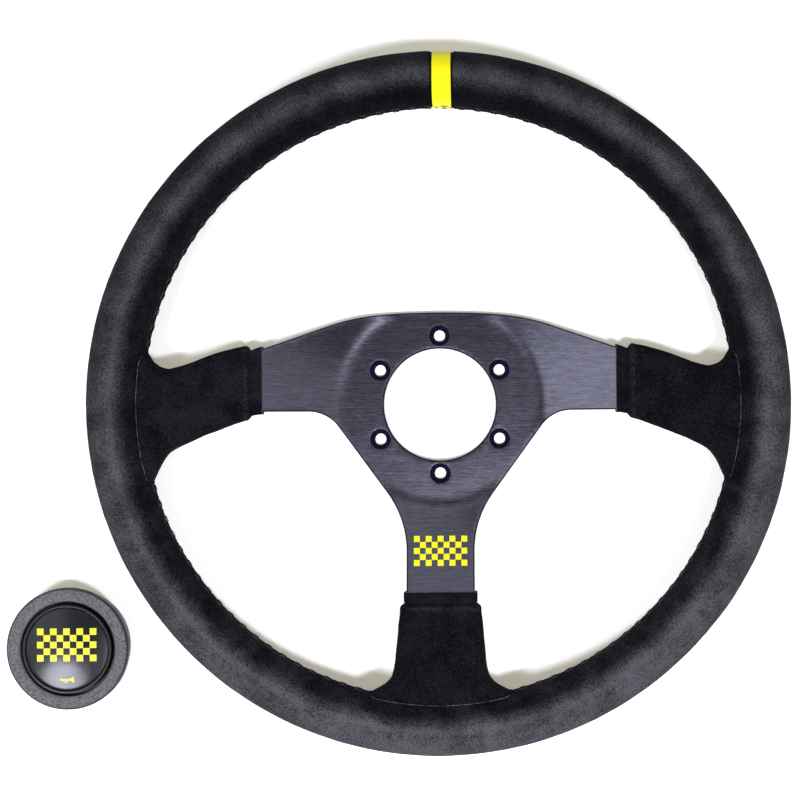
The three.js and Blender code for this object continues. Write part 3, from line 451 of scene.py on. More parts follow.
MATERIALS = {
    "wrap": rim_suede(),
    "boot": boot_suede(),
    "yellow": yellow_leather(),
    "thread": twisted_thread(),
    "joint_thread": joint_thread(),
    "raw_edge": raw_edge(),
    "plate": brushed_anodised(),
    "plate_edge": anodised_edge(),
    "print": yellow_print("plate_print", 0.45),
    "badge_print": yellow_print("badge_print", 0.3),
    "bezel": grained_plastic(),
    "cap": smooth_plastic("cap_plastic", (0.006, 0.006, 0.0065), 0.18, 0.2),
    "badge": smooth_plastic("badge_gloss", (0.011, 0.012, 0.0145), 0.1),
    "base": smooth_plastic("base_plastic", (0.02, 0.02, 0.021), 0.4),
    "aluminium": metal("hoop_aluminium", (0.6, 0.61, 0.62), 0.35),
    "brass": metal("contact_brass", (0.66, 0.46, 0.16), 0.3),
    "steel": metal("plated_steel", (0.5, 0.51, 0.52), 0.28),
    "rubber": soft_black("grip_rubber", (0.008, 0.008, 0.009), 900),
    "foam": soft_black("grip_foam", (0.014, 0.014, 0.015), 500),
}


# Numbers and points

def steps(first, last, count):
    """Numbers or points from first to last at even steps, both ends included."""
    return [first + (last - first) * k / count for k in range(count + 1)]


def turns(count, start=0.0):
    """Angles at even steps round a full turn."""
    return steps(start, start + 2 * math.pi, count)[:-1]


def on_circle(centre, radius, angles):
    """Flat points round a centre."""
    return [Vector((centre[0] + radius * math.cos(a), centre[1] + radius * math.sin(a))) for a in angles]


def clamped(value):
    """The value, kept between 0 and 1."""
    return min(1.0, max(0.0, value))


def bell(distance, width):
    """A smooth bump: 1 at no distance, and almost gone at twice its width."""
    return math.exp(-((distance / width) ** 2))


def last_where(test, low, high):
    """The last value between two at which a test still holds, found by halving."""
    for _ in range(40):
        middle = (low + high) / 2
        if test(middle):
            low = middle
        else:
            high = middle
    return low


def lumps(point, *waves):
    """The unevenness of a skin at a point, from pairs of height in millimetres and waves per metre."""
    return sum(height * MM * noise.noise(point * scale) for height, scale in waves)


# Mesh helpers

def mesh_object(name, vertices, faces, *materials):
    """A new object from plain lists, with its faces turned to point out."""
    mesh = bpy.data.meshes.new(name)
    mesh.from_pydata([tuple(v) for v in vertices], [], faces)
    made = bmesh.new()
    made.from_mesh(mesh)
    bmesh.ops.remove_doubles(made, verts=made.verts, dist=MERGE)
    bmesh.ops.recalc_face_normals(made, faces=made.faces)
    made.to_mesh(mesh)
    made.free()
    for material in materials:
        mesh.materials.append(MATERIALS[material])
    mesh.shade_smooth()
    piece = bpy.data.objects.new(name, mesh)
    bpy.context.scene.collection.objects.link(piece)
    return piece


def add_to(vertices, faces, more, quads):
    """Adds the vertices and faces of one shape to another's."""
    faces += [tuple(len(vertices) + i for i in quad) for quad in quads]
    vertices += more


def grid_faces(rows, columns, close_rows=False):
    """Quads between closed rows of points that lie one after another."""
    faces = []
    for i in range(rows if close_rows else rows - 1):
        here, there = i * columns, (i + 1) % rows * columns
        for j in range(columns):
            k = (j + 1) % columns
            faces.append((here + j, here + k, there + k, there + j))
    return faces


def end_caps(rows, columns):
    """The faces that close such a grid at its first and its last row."""
    return [tuple(range(columns)), tuple((rows - 1) * columns + j for j in range(columns))]


def turned(name, profile, centre, material, sides=FINE, closed=True):
    """A profile of (radius, height) pairs, turned about a vertical axis."""
    angles = turns(sides)
    vertices = [centre + Vector((radius * math.cos(a), radius * math.sin(a), height))
                for radius, height in profile for a in angles]
    return mesh_object(name, vertices, grid_faces(len(profile), sides, close_rows=closed), material)


def rounded(profile, radius, cuts=4, closed=True):
    """The same profile with each corner rounded, no more than its sides allow."""
    made = []
    count = len(profile)
    for i, corner in enumerate(profile):
        here = Vector(corner)
        if not closed and i in (0, count - 1):
            made.append(here)
            continue
        back, ahead = Vector(profile[i - 1]) - here, Vector(profile[(i + 1) % count]) - here
        reach = min(radius, 0.45 * back.length, 0.45 * ahead.length)
        first, last = here + back.normalized() * reach, here + ahead.normalized() * reach
        made += [first * (1 - t) ** 2 + here * 2 * t * (1 - t) + last * t**2 for t in steps(0, 1, cuts)]
    return made


def tube(points, radius, sides=6, closed=False):
    """Vertices and faces of a round tube along points, with drawn-in ends."""
    vertices = []
    count = len(points)
    side = None
    for i, point in enumerate(points):
        if closed:
            ahead = points[(i + 1) % count] - points[i - 1]
        else:
            ahead = points[min(i + 1, count - 1)] - points[max(i - 1, 0)]
        ahead.normalize()
        if side is None:
            side = ahead.orthogonal()
        side = (side - ahead * side.dot(ahead)).normalized()
        up = ahead.cross(side)
        here = radius * (0.45 if not closed and i in (0, count - 1) else 1)
        vertices += [point + (side * math.cos(a) + up * math.sin(a)) * here for a in turns(sides)]
    faces = grid_faces(count, sides, close_rows=closed)
    if not closed:
        faces += end_caps(count, sides)
    return vertices, faces


def joined_tubes(name, runs, radius, material):
    """One object from many runs of points."""
    vertices, faces = [], []
    for points in runs:
        add_to(vertices, faces, *tube(points, radius))
    return mesh_object(name, vertices, faces, material)


def cut_with(piece, tools):
    """Cuts tools out of a piece and removes them."""
    for tool in tools:
        cut = piece.modifiers.new("cut", "BOOLEAN")
        cut.object = tool
        cut.operation = "DIFFERENCE"
        cut.solver = "EXACT"
    shown = piece.evaluated_get(bpy.context.evaluated_depsgraph_get())
    made = bpy.data.meshes.new_from_object(shown)
    piece.modifiers.clear()
    piece.data = made
    for tool in tools:
        bpy.data.objects.remove(tool)


def settle(piece, body, slot, *nodes):
    """Puts a finished piece on its body, in place of the nodes that it stands for."""
    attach(piece, body)
    if nodes:
        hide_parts(*nodes)


# The spoke plate

def rise(radius):
    """How far the dish has lifted the plate's back face at a radius."""
    slope = DISH_RISE / (DISH_END_RADIUS - HUB_FLAT_RADIUS - BEND_LENGTH)
    run, left = radius - HUB_FLAT_RADIUS, DISH_END_RADIUS - radius
    if run <= 0:
        return 0.0
    if left <= 0:
        return DISH_RISE
    if run < BEND_LENGTH:
        return slope * run**2 / (2 * BEND_LENGTH)
    if left < BEND_LENGTH:
        return DISH_RISE - slope * left**2 / (2 * BEND_LENGTH)
    return slope * (run - BEND_LENGTH / 2)


def upper_edge(x):
    return ARCH_SHOULDER - UPPER_EDGE_SLOPE * (x - ARCH_HALF)


def lower_edge(x):
    return -SIDE_SPOKE_LOWER - LOWER_EDGE_SLOPE * max(0.0, x - SIDE_SPOKE_KNEE)


def bezier(a, b, c, d, count):
    """Points of a curve, without its last one."""
    return [a * (1 - t) ** 3 + b * 3 * t * (1 - t) ** 2 + c * 3 * t**2 * (1 - t) + d * t**3
            for t in steps(0, 1, count)[:-1]]


def where_it_ends(edge, start):
    """Where an edge of a side spoke meets the hoop's outside."""
    x = last_where(lambda x: math.hypot(x, edge(x)) < HOOP_OUTER_RADIUS, start, HOOP_OUTER_RADIUS)
    return Vector((x, edge(x)))


def hoop_arc(start, end, count):
    """Points on the hoop's outside, by the directions of two places."""
    angles = steps(math.atan2(start.y, start.x), math.atan2(end.y, end.x), count)
    return on_circle((0, 0), HOOP_OUTER_RADIUS, angles)


def half_outline():
    """The right half of the outline, from the crest clockwise to the lower spoke's end."""
    shoulder = Vector((ARCH_HALF, ARCH_SHOULDER))
    arch_x = ARCH_HALF - ARCH_END_REACH
    arch_handle = Vector((arch_x, upper_edge(arch_x)))
    points = bezier(Vector((0, ARCH_TOP)), Vector((ARCH_CREST_REACH, ARCH_TOP)), arch_handle, shoulder, 28)
    upper_end = where_it_ends(upper_edge, ARCH_HALF)
    lower_end = where_it_ends(lower_edge, SIDE_SPOKE_KNEE)
    points += steps(shoulder, upper_end, 24)[:-1]
    points += hoop_arc(upper_end, lower_end, 8)
    knee = Vector((SIDE_SPOKE_KNEE, -SIDE_SPOKE_LOWER))
    points += steps(lower_end, knee, 16)[1:-1]
    points += steps(knee, Vector((ARMPIT_START, -SIDE_SPOKE_LOWER)), 6)[:-1]
    armpit = (ARMPIT_START, -SIDE_SPOKE_LOWER - ARMPIT_RADIUS)
    turn = math.pi / 2 + ARMPIT_TURN
    points += on_circle(armpit, ARMPIT_RADIUS, steps(math.pi / 2, turn, 14))
    armpit_end = points[-1]
    sin, cos = math.sin(ARMPIT_TURN), math.cos(ARMPIT_TURN)
    flare_x = LOWER_SPOKE_HALF + LOWER_SPOKE_FLARE_RADIUS
    fall = (armpit_end.x - (flare_x - LOWER_SPOKE_FLARE_RADIUS * sin)) * sin / cos
    flare_y = armpit_end.y - fall - LOWER_SPOKE_FLARE_RADIUS * cos
    flare = on_circle((flare_x, flare_y), LOWER_SPOKE_FLARE_RADIUS, steps(turn, math.pi, 16))
    points += steps(armpit_end, flare[0], 12)[1:-1] + flare
    foot = Vector((LOWER_SPOKE_HALF, -math.sqrt(HOOP_OUTER_RADIUS**2 - LOWER_SPOKE_HALF**2)))
    points += steps(flare[-1], foot, 24)[1:]
    return points + hoop_arc(foot, Vector((0, -HOOP_OUTER_RADIUS)), 5)[1:]


def plate_outline():
    half = half_outline()
    return half + [Vector((-p.x, p.y)) for p in reversed(half[1:-1])]


def offset_loop(loop, distance):
    """Moves each corner into the sheet: the outline runs clockwise, and a hole the other way."""
    made = []
    for i, here in enumerate(loop):
        step = (loop[(i + 1) % len(loop)] - loop[i - 1]).normalized()
        made.append(here + Vector((step.y, -step.x)) * distance)
    return made


def is_inside(point, loop):
    crossings = 0
    for a, b in zip(loop, loop[-1:] + loop[:-1]):
        if (a.y > point.y) != (b.y > point.y):
            crossings += point.x < (b.x - a.x) * (point.y - a.y) / (b.y - a.y) + a.x
    return crossings % 2 == 1


def sheet_of(outline, *holes):
    """Triangles of the flat sheet inside an outline and outside its holes."""

    def on_sheet(p):
        return is_inside(p, outline) and not any(is_inside(p, hole) for hole in holes)

    points, edges = [], []
    for loop in (outline, *holes):
        first = len(points)
        points += loop
        edges += [(first + i, first + (i + 1) % len(loop)) for i in range(len(loop))]
    left, right = min(p.x for p in outline), max(p.x for p in outline)
    low, high = min(p.y for p in outline), max(p.y for p in outline)
    row_height = 0.866 * SHEET_SPACING
    grid = []
    for row in range(int((high - low) / row_height)):
        for column in range(int((right - left) / SHEET_SPACING) + 1):
            p = Vector((left + (column + (row % 2) / 2) * SHEET_SPACING, low + (row + 0.5) * row_height))
            if on_sheet(p) and min((p - q).length for q in points) > 0.45 * SHEET_SPACING:
                grid.append(p)
    vertices, _, triangles = delaunay_2d_cdt(points + grid, edges, [], 1, 1e-7)[:3]
    middles = [sum((vertices[i] for i in triangle), Vector((0, 0))) / 3 for triangle in triangles]
    return vertices, [tuple(t) for t, middle in zip(triangles, middles) if on_sheet(middle)]


def spoke_plate():
    """The dished sheet: two triangulated faces, joined by walls round its edge and its holes."""
    vertices, faces, kinds = [], [], []
    fronts, backs = [], []

    def lifted(loop, height):
        return [Vector((p.x + HUB.x, p.y, rise(p.length) + height)) for p in loop]

    def add_wall(rings):
        """Strips between loops of as many points, each at its own height."""
        quads = grid_faces(len(rings), len(rings[0][0]))
        add_to(vertices, faces, [p for loop, height in rings for p in lifted(loop, height)], quads)
        kinds.extend([1] * len(quads))
        fronts.append(rings[0][0])
        backs.append(rings[-1][0])

    angles = steps(0, math.pi / 2, 3)
    corner = [(EDGE_ROUNDING * (1 - math.sin(a)), EDGE_ROUNDING * (1 - math.cos(a))) for a in angles]
    edge = [(a, PLATE_THICKNESS - b) for a, b in corner] + [(b, a) for a, b in corner]
    for loop in (plate_outline(), on_circle((0, 0), CENTRE_HOLE_RADIUS, turns(128))):
        add_wall([(offset_loop(loop, inset), height) for inset, height in edge])
    sunk = PLATE_THICKNESS - (COUNTERSINK_RADIUS - BOLT_HOLE_RADIUS)
    bolt_hole = [
        (COUNTERSINK_RADIUS + 0.15 * MM, PLATE_THICKNESS),
        (COUNTERSINK_RADIUS, PLATE_THICKNESS - 0.06 * MM),
        (BOLT_HOLE_RADIUS + 0.1 * MM, sunk),
        (BOLT_HOLE_RADIUS, sunk - 0.1 * MM),
        (BOLT_HOLE_RADIUS, 0.2 * MM),
        (BOLT_HOLE_RADIUS + 0.2 * MM, 0.0),
    ]
    for bolt in on_circle((0, 0), BOLT_CIRCLE_RADIUS, turns(BOLT_COUNT, math.pi / 2)):
        add_wall([(on_circle(bolt, radius, turns(40)), height) for radius, height in bolt_hole])
    for loops, height, way in ((fronts, PLATE_THICKNESS, 1), (backs, 0.0, -1)):
        flat, triangles = sheet_of(*loops)
        add_to(vertices, faces, lifted(flat, height), [t[::way] for t in triangles])
        kinds += [0] * len(triangles)
    plate = mesh_object("spoke_plate_skin", vertices, faces, "plate", "plate_edge")
    plate.data.set_sharp_from_angle(angle=math.radians(32))
    plate.data.polygons.foreach_set("material_index", kinds)
    brushing = plate.data.uv_layers.new(name="brushing")
    for loop in plate.data.loops:
        brushing.data[loop.index].uv = plate.data.vertices[loop.vertex_index].co.xy
    even = plate.modifiers.new("even normals", "WEIGHTED_NORMAL")
    even.keep_sharp = True
    even.weight = 90
    settle(plate, "wheel", "anodised_plate", "spoke_plate")


spoke_plate()


# The chequered marks printed on the lower spoke and on the button

def chequers(middle, side, height_at):
    """Every other square of a block, each a net that follows the surface under it."""
    columns, rows, cuts = 9, 5, 4
    net = [(a, a + 1, a + cuts + 2, a + cuts + 1) for a in range(cuts * (cuts + 1)) if a % (cuts + 1) < cuts]
    vertices, faces = [], []
    for i in range(columns):
        for j in range(rows):
            if (i + j) % 2 == 0:
                x, y = middle.x + (i - columns / 2) * side, middle.y + (j - rows / 2) * side
                corners = [(a, b) for a in steps(x, x + side, cuts) for b in steps(y, y + side, cuts)]
                add_to(vertices, faces, [(a, b, height_at(a, b)) for a, b in corners], net)
    return vertices, faces


def on_plate(x, y):
    return rise(math.hypot(x - HUB.x, y)) + PLATE_THICKNESS + PRINT_HEIGHT


def spoke_print():
    squares = chequers(Vector((HUB.x, SPOKE_PRINT_Y)), SPOKE_PRINT_SQUARE, on_plate)
    settle(mesh_object("spoke_print", *squares, "print"), "wheel", "yellow_leather")


spoke_print()


# The leather work

# How the boots widen towards the rim. Each row has the place along the boot, the flare of the
# upper and of the lower side, the padding and the roundness, all as shares.
SIDE_BOOT_SHARES = [
    [0, 0, 0, 0, 0.38],
    [0.05, 0.135, 0.055, 0.4, 0.5],
    [0.18, 0.19, 0.075, 0.5, 0.57],
    [0.39, 0.21, 0.125, 0.62, 0.68],
    [0.6, 0.195, 0.2, 0.75, 0.8],
    [0.745, 0.215, 0.3, 0.87, 0.9],
    [0.82, 0.32, 0.49, 0.92, 1],
    [0.895, 0.52, 0.84, 1, 1],
    [0.955, 0.8, 1.12, 1, 1],
    [1.09, 1, 1.27, 1, 1],
]
BOTTOM_BOOT_SHARES = [
    [0, 0, 0, 0, 0.38],
    [0.045, 0.075, 0.075, 0.4, 0.5],
    [0.175, 0.115, 0.115, 0.5, 0.57],
    [0.385, 0.16, 0.16, 0.62, 0.68],
    [0.6, 0.21, 0.21, 0.75, 0.8],
    [0.745, 0.28, 0.28, 0.87, 0.9],
    [0.82, 0.42, 0.42, 0.92, 1],
    [0.895, 0.72, 0.72, 1, 1],
    [0.955, 1, 1, 1, 1],
    [1.09, 1.22, 1.22, 1, 1],
]


def smooth_table(rows, place):
    """The shares between the rows of a table, on curves that don't overshoot."""
    k = 0
    while k + 2 < len(rows) and place > rows[k + 1][0]:
        k += 1
    before, here, there, after = rows[max(k - 1, 0)], rows[k], rows[k + 1], rows[min(k + 2, len(rows) - 1)]
    span = there[0] - here[0]
    t = clamped((place - here[0]) / span)

    def slope(a, b, c, i):
        left = (b[i] - a[i]) / (b[0] - a[0]) if b[0] > a[0] else 0.0
        right = (c[i] - b[i]) / (c[0] - b[0]) if c[0] > b[0] else 0.0
        return 0.0 if left * right <= 0 else 2 * left * right / (left + right)

    made = []
    for i in range(1, len(here)):
        start, end = slope(before, here, there, i) * span, slope(here, there, after, i) * span
        level = here[i] + (there[i] - here[i]) * (3 * t**2 - 2 * t**3)
        made.append(level + start * (t**3 - 2 * t**2 + t) + end * (t**3 - t**2))
    return made


class Spoke:
    """Where a boot lies, and its section at each place along it."""

    def __init__(self, name, length, shares, edges, place):
        self.name, self.shares, self.edges, self.place = name, shares, edges, place
        self.hem = RIM_INNER_RADIUS - length
        self.hem_end = self.hem + HEM_LENGTH
        self.run = RIM_INNER_RADIUS - self.hem_end
        self.end = self.hem_end + BOOT_REACH * self.run

    def at(self, along, across, height):
        """A place by its way along the spoke, its way across it and its height."""
        x, y = self.place(along, across)
        return Vector((x + HUB.x, y, height))

    def section(self, along, inset=0.0):
        """The section's middle across the spoke, half width, half depth, corner and middle height."""
        place = max((along - self.hem_end) / self.run, 0.0)
        upper_flare, lower_flare, padding, roundness = smooth_table(self.shares, place)
        upper, lower = self.edges(along)
        high = upper + COVER + upper_flare * BOOT_FLARE
        low = lower - COVER - lower_flare * BOOT_FLARE
        depth = HEM_DEPTH + padding * (BOOT_HALF_DEPTH - HEM_DEPTH)
        across, half = (high + low) / 2, (high - low) / 2
        lift = (RIM_MID - DISH_RISE - PLATE_THICKNESS / 2) * min(1.0, place)
        middle = rise(math.hypot(along, across)) + PLATE_THICKNESS / 2 + lift
        return across, half - inset, depth - inset, max(roundness * depth - inset, SKIN_GAP), middle

    def point(self, along, share, inset=0.0):
        """The surface point at a share of the way round the section."""
        across, half, depth, corner, middle = self.section(along, inset)
        straight = [2 * (depth - corner), 2 * (half - corner)] * 2
        bend = math.pi / 2 * corner
        left = share % 1 * (sum(straight) + 4 * bend)
        k = 0
        while left > straight[k] + bend:
            left -= straight[k] + bend
            k += 1
        gone = min(left, straight[k])
        facing = math.pi / 2 * k
        angle = facing + (left - gone) / corner
        start_x, start_y = ((1, -1), (1, 1), (-1, 1), (-1, -1))[k]
        x = start_x * (half - corner) - math.sin(facing) * gone + corner * math.cos(angle)
        y = start_y * (depth - corner) + math.cos(facing) * gone + corner * math.sin(angle)
        return self.at(along, across + x, middle + y)

    def outward(self, along, share):
        """The way out of the surface at such a point."""
        near, beside = 0.2 * MM, 0.002
        a = self.point(along + near, share) - self.point(along - near, share)
        b = self.point(along, share + beside) - self.point(along, share - beside)
        normal = a.cross(b).normalized()
        across, *_, middle = self.section(along)
        out = self.point(along, share) - self.at(along, across, middle)
        return normal if normal.dot(out) > 0 else -normal


def side_edges(along):
    return upper_edge(along), lower_edge(along)


SPOKES = [
    Spoke("left", SIDE_BOOT_LENGTH, SIDE_BOOT_SHARES, side_edges, lambda along, across: (-along, across)),
    Spoke("right", SIDE_BOOT_LENGTH, SIDE_BOOT_SHARES, side_edges, lambda along, across: (along, across)),
    Spoke("bottom", BOTTOM_BOOT_LENGTH, BOTTOM_BOOT_SHARES,
          lambda along: (LOWER_SPOKE_HALF, -LOWER_SPOKE_HALF), lambda along, across: (across, -along)),
]


def grip_point(angle, turn, grow=0.0):
    """A point of the grip: angle clockwise from the top, turn round the section from outside."""
    radius = RIM_RADIUS + (GRIP_HALF_WIDTH + grow) * math.cos(turn)
    height = RIM_MID + (GRIP_HALF_DEPTH + grow) * math.sin(turn)
    return Vector((HUB.x + radius * math.sin(angle), radius * math.cos(angle), height))


def in_grip(point):
    x = (math.hypot(point.x - HUB.x, point.y) - RIM_RADIUS) / GRIP_HALF_WIDTH
    y = (point.z - RIM_MID) / GRIP_HALF_DEPTH
    return math.hypot(x, y) < 1


def boot(spoke):
    """A suede boot: a thin hem glued on the plate, then padding that flares to the rim."""
    cut, height, groove_width, roll_width, roll_shift = 0.25 * MM, 0.3 * MM, 0.7 * MM, 1.3 * MM, 2.6 * MM
    hem_rings, fold_rings, padding_start = [1.2, 2.4, 3.6, 4.7], steps(5.1, 10.6, 11), 11.2 * MM
    rings = [(spoke.hem + 0.05 * MM, LEATHER), (spoke.hem, 0.75 * LEATHER),
             (spoke.hem, 0.3 * LEATHER), (spoke.hem + cut, 0.0)]
    rings += [(spoke.hem + along * MM, 0.0) for along in hem_rings + fold_rings]
    rings += [(along, 0.0) for along in steps(spoke.hem + padding_start, spoke.end, 60)]
    vertices, fold_highlights = [], []
    for along, inset in rings:
        behind = along - spoke.hem_end
        loose = clamped(behind / (10 * MM))
        groove = bell(behind, groove_width)
        roll = bell(behind - roll_shift, roll_width)
        for share in steps(0, 1, SKIN_SIDES)[:-1]:
            p = spoke.point(along, share, inset)
            if loose or groove > 0.01:
                swell = loose * lumps(p, (0.28, 95), (0.13, 260))
                waver = roll * (1 + 0.5 * noise.noise(p * 120))
                p += spoke.outward(along, share) * (swell + height * (waver - groove))
            vertices.append(p)
            # How much painted highlight the boot's suede gets along the rolled crease.
            fold_highlights.append(max(0.0, roll * (0.6 + 0.9 * noise.noise(p * 180))))
    faces = grid_faces(len(rings), SKIN_SIDES) + end_caps(len(rings), SKIN_SIDES)[1:]
    piece = mesh_object(f"spoke_boot_{spoke.name}_skin", vertices, faces, "boot", "raw_edge")
    piece.data.attributes.new("fold", "FLOAT", "POINT").data.foreach_set("value", fold_highlights)
    for polygon in piece.data.polygons:
        x, y, _ = polygon.center - HUB
        along = -y if spoke.name == "bottom" else abs(x)
        if along < spoke.hem + 0.6 * cut:
            polygon.material_index = 1
    settle(piece, "wheel", "suede", f"spoke_boot_{spoke.name}")


def joint_curve(spoke, count):
    """Where a boot's surface runs into the grip, all round the boot."""
    made = []
    for share in steps(0, 1, count)[:-1]:
        along = last_where(lambda x: not in_grip(spoke.point(x, share)), spoke.hem_end, spoke.end)
        made.append(spoke.point(along, share))
    return made


def evenly(points, spacing, closed=True):
    """Points at even spacing along a polyline."""
    loop = points + points[:1] if closed else points
    lengths = [0.0]
    for a, b in zip(loop, loop[1:]):
        lengths.append(lengths[-1] + (b - a).length)
    count = max(4, round(lengths[-1] / spacing))
    made, k = [], 0
    for want in steps(0, lengths[-1], count)[:count if closed else None]:
        while k + 2 < len(lengths) and lengths[k + 1] < want:
            k += 1
        t = (want - lengths[k]) / max(lengths[k + 1] - lengths[k], 1e-12)
        made.append(loop[k].lerp(loop[k + 1], clamped(t)))
    return made


def boot_joint(spoke):
    """The joint round a boot: a rolled edge with a fine thread drawn along it."""
    curve = evenly(joint_curve(spoke, 240), 0.7 * MM)
    roll = tube(curve, JOINT_ROLL_RADIUS, sides=8, closed=True)
    bead = mesh_object(f"boot_joint_bead_{spoke.name}", *roll, "boot")
    settle(bead, "wheel", "suede", f"boot_joint_seam_{spoke.name}")
    centre = sum(curve, Vector()) / len(curve)
    points = []
    for i, here in enumerate(curve):
        out = 0.8 * UP * math.copysign(1, here.z - centre.z) + 0.2 * (here - centre).normalized()
        points.append(here + out * (0.46 + 0.07 * math.sin(i * 2.1)) * MM)
    drawn = tube(points, STITCH_RADIUS, closed=True)
    line = mesh_object(f"boot_joint_thread_{spoke.name}", *drawn, "joint_thread")
    settle(line, "wheel", "thread")


def boot_back(spoke):
    """The seam that closes a boot along its back, with slanting stitches across it."""
    target = []
    for along in steps(spoke.hem + 1 * MM, spoke.hem_end + 0.84 * spoke.run, 39):
        across, _, depth, _, middle = spoke.section(along)
        target.append(spoke.at(along, across, middle - depth))
    curve = evenly(target, 1.1 * MM, closed=False)
    bead = mesh_object(f"boot_back_bead_{spoke.name}", *tube(curve, BACK_ROLL_RADIUS, sides=8), "boot")
    settle(bead, "wheel", "suede", f"boot_back_seam_{spoke.name}")
    stitch = [(-1.9, -0.6, 0), (-1.3, -0.42, -0.35), (0, 0, -0.62), (1.3, 0.42, -0.35), (1.9, 0.6, 0)]
    runs = []
    for i in range(1, len(curve) - 1, 3):
        ahead = (curve[i + 1] - curve[i - 1]).normalized()
        side = ahead.cross(UP).normalized()
        runs.append([curve[i] + (side * x + ahead * y + UP * z) * MM for x, y, z in stitch])
    stitches = joined_tubes(f"boot_back_stitches_{spoke.name}", runs, BACK_STITCH_RADIUS, "thread")
    settle(stitches, "wheel", "thread")


def cover(name, start, end, rings, sink, flat, material, lip):
    """Leather round the grip from one cut to another, with its edges rolled in.

    start and end are angles clockwise from the top. The cuts lie flat, square to the rim at
    the top, and the rings turn to lie square to the rim everywhere over the angle flat.
    lip gives the way of each edge: millimetres back from the cut, and share of the leather down."""
    way = [(back * MM / RIM_RADIUS, down * LEATHER) for back, down in lip]
    between = steps(start + way[-1][0], end - way[-1][0], rings)[1:-1]
    stations = [(start + back, depth) for back, depth in way] + [(angle, 0.0) for angle in between]
    stations += [(end - back, depth) for back, depth in reversed(way)]
    vertices = []
    for angle, depth in stations:
        near = max(0.0, 1 - min(abs(angle - start), abs(angle - end)) / flat) if flat else 1.0
        for turn in turns(SKIN_SIDES):
            seam = bell(turn - math.pi, SEAM_WIDTH)
            grow = -sink - depth - SEAM_DEPTH * seam
            here = angle
            if near > 0:
                x = RIM_RADIUS * math.sin(angle)
                radius = RIM_RADIUS + (GRIP_HALF_WIDTH + grow) * math.cos(turn)
                here += near * (math.asin(x / radius) - math.asin(x / RIM_RADIUS))
            p = grip_point(here, turn, grow)
            out = Vector((math.sin(here) * math.cos(turn), math.cos(here) * math.cos(turn), math.sin(turn)))
            vertices.append(p + out * lumps(p, (0.16, 75), (0.08, 210)) * (1 - seam))
    faces = grid_faces(len(stations), SKIN_SIDES) + end_caps(len(stations), SKIN_SIDES)
    return mesh_object(name, vertices, faces, material)


def angle_of(x):
    return math.asin(x / RIM_RADIUS)


def rim_core():
    """The foam that shows in the grooves beside the yellow band."""
    rings, sides = 240, 48
    vertices = [grip_point(angle, turn, -COVER) for angle in turns(rings) for turn in turns(sides)]
    core = mesh_object("rim_core", vertices, grid_faces(rings, sides, close_rows=True), "foam")
    settle(core, "wheel", "grip_foam", "rim_foam")


def rim_cover():
    """The suede wrap, tucked in beside the yellow band, and the band, with its edges rolled."""
    left, right = MARK_SHIFT - MARK_WIDTH / 2, MARK_SHIFT + MARK_WIDTH / 2
    start, end = angle_of(right + MARK_GROOVE), 2 * math.pi + angle_of(left - MARK_GROOVE)
    rolled = [(0.0, 1.0), (0.0, 0.55), (0.12, 0.2), (0.35, 0.04), (0.7, 0.0)]
    tucked = [(-1.4, 1.0), (-1.3, 0.6), (-0.9, 0.5), (-0.3, 0.46),
              (0.0, 0.36), (0.25, 0.17), (0.6, 0.05), (1.0, 0.0)]
    wrap = cover("rim_wrap_skin", start, end, 420, 0.0, math.radians(6), "wrap", tucked)
    # Painted shade for the rim's suede: a share that darkens the wrap where it tucks in beside the yellow
    # band.
    groove = wrap.data.attributes.new("groove", "FLOAT", "POINT")
    for vertex, shade in zip(wrap.data.vertices, groove.data):
        beside = abs(vertex.co.x - HUB.x - MARK_SHIFT) - MARK_WIDTH / 2
        if vertex.co.y > 0:
            shade.value = clamped(1.3 - beside / (1.1 * MM))
    settle(wrap, "wheel", "suede", "rim_wrap")
    mark = cover("centre_mark_skin", angle_of(left), angle_of(right), 12, 0.2 * MM, 0.0, "yellow", rolled)
    settle(mark, "wheel", "yellow_leather", "centre_mark")


def rim_stitches(name, start, end):
    """Two rows of stitches beside the seam, and the lacing that closes it."""
    runs = []

    def row(pitch, length, cuts, turn_at, height_at):
        """Stitches in a row: t goes from -1/2 to 1/2 along each, turn in degrees, height in mm."""
        reach = length / RIM_INNER_RADIUS
        count = int((end - start) * RIM_INNER_RADIUS / pitch)
        for i in range(count):
            middle = start + (end - start) * (i + 0.5) / count
            runs.append([grip_point(middle + t * reach, math.radians(turn_at(t)), height_at(t) * MM)
                         for t in steps(-0.5, 0.5, cuts)])

    for turn in (167, 193):
        row(STITCH_PITCH, STITCH_LENGTH, 5, lambda t: turn, lambda t: 0.24 - 0.32 * (2 * t) ** 4)
    row(LACE_PITCH, 0.55 * LACE_PITCH, 4, lambda t: 180 + 12 * t, lambda t: 0.1 - 0.5 * (2 * t) ** 4)
    piece = joined_tubes(f"rim_stitches_{name}", runs, STITCH_RADIUS, "thread")
    settle(piece, "wheel", "thread", f"rim_lacing_{name}")


rim_core()
rim_cover()
for spoke in SPOKES:
    boot(spoke)
    boot_joint(spoke)
    boot_back(spoke)
for name, (start, end) in OPEN_RUNS.items():
    rim_stitches(name, math.radians(start), math.radians(end))


# The horn button

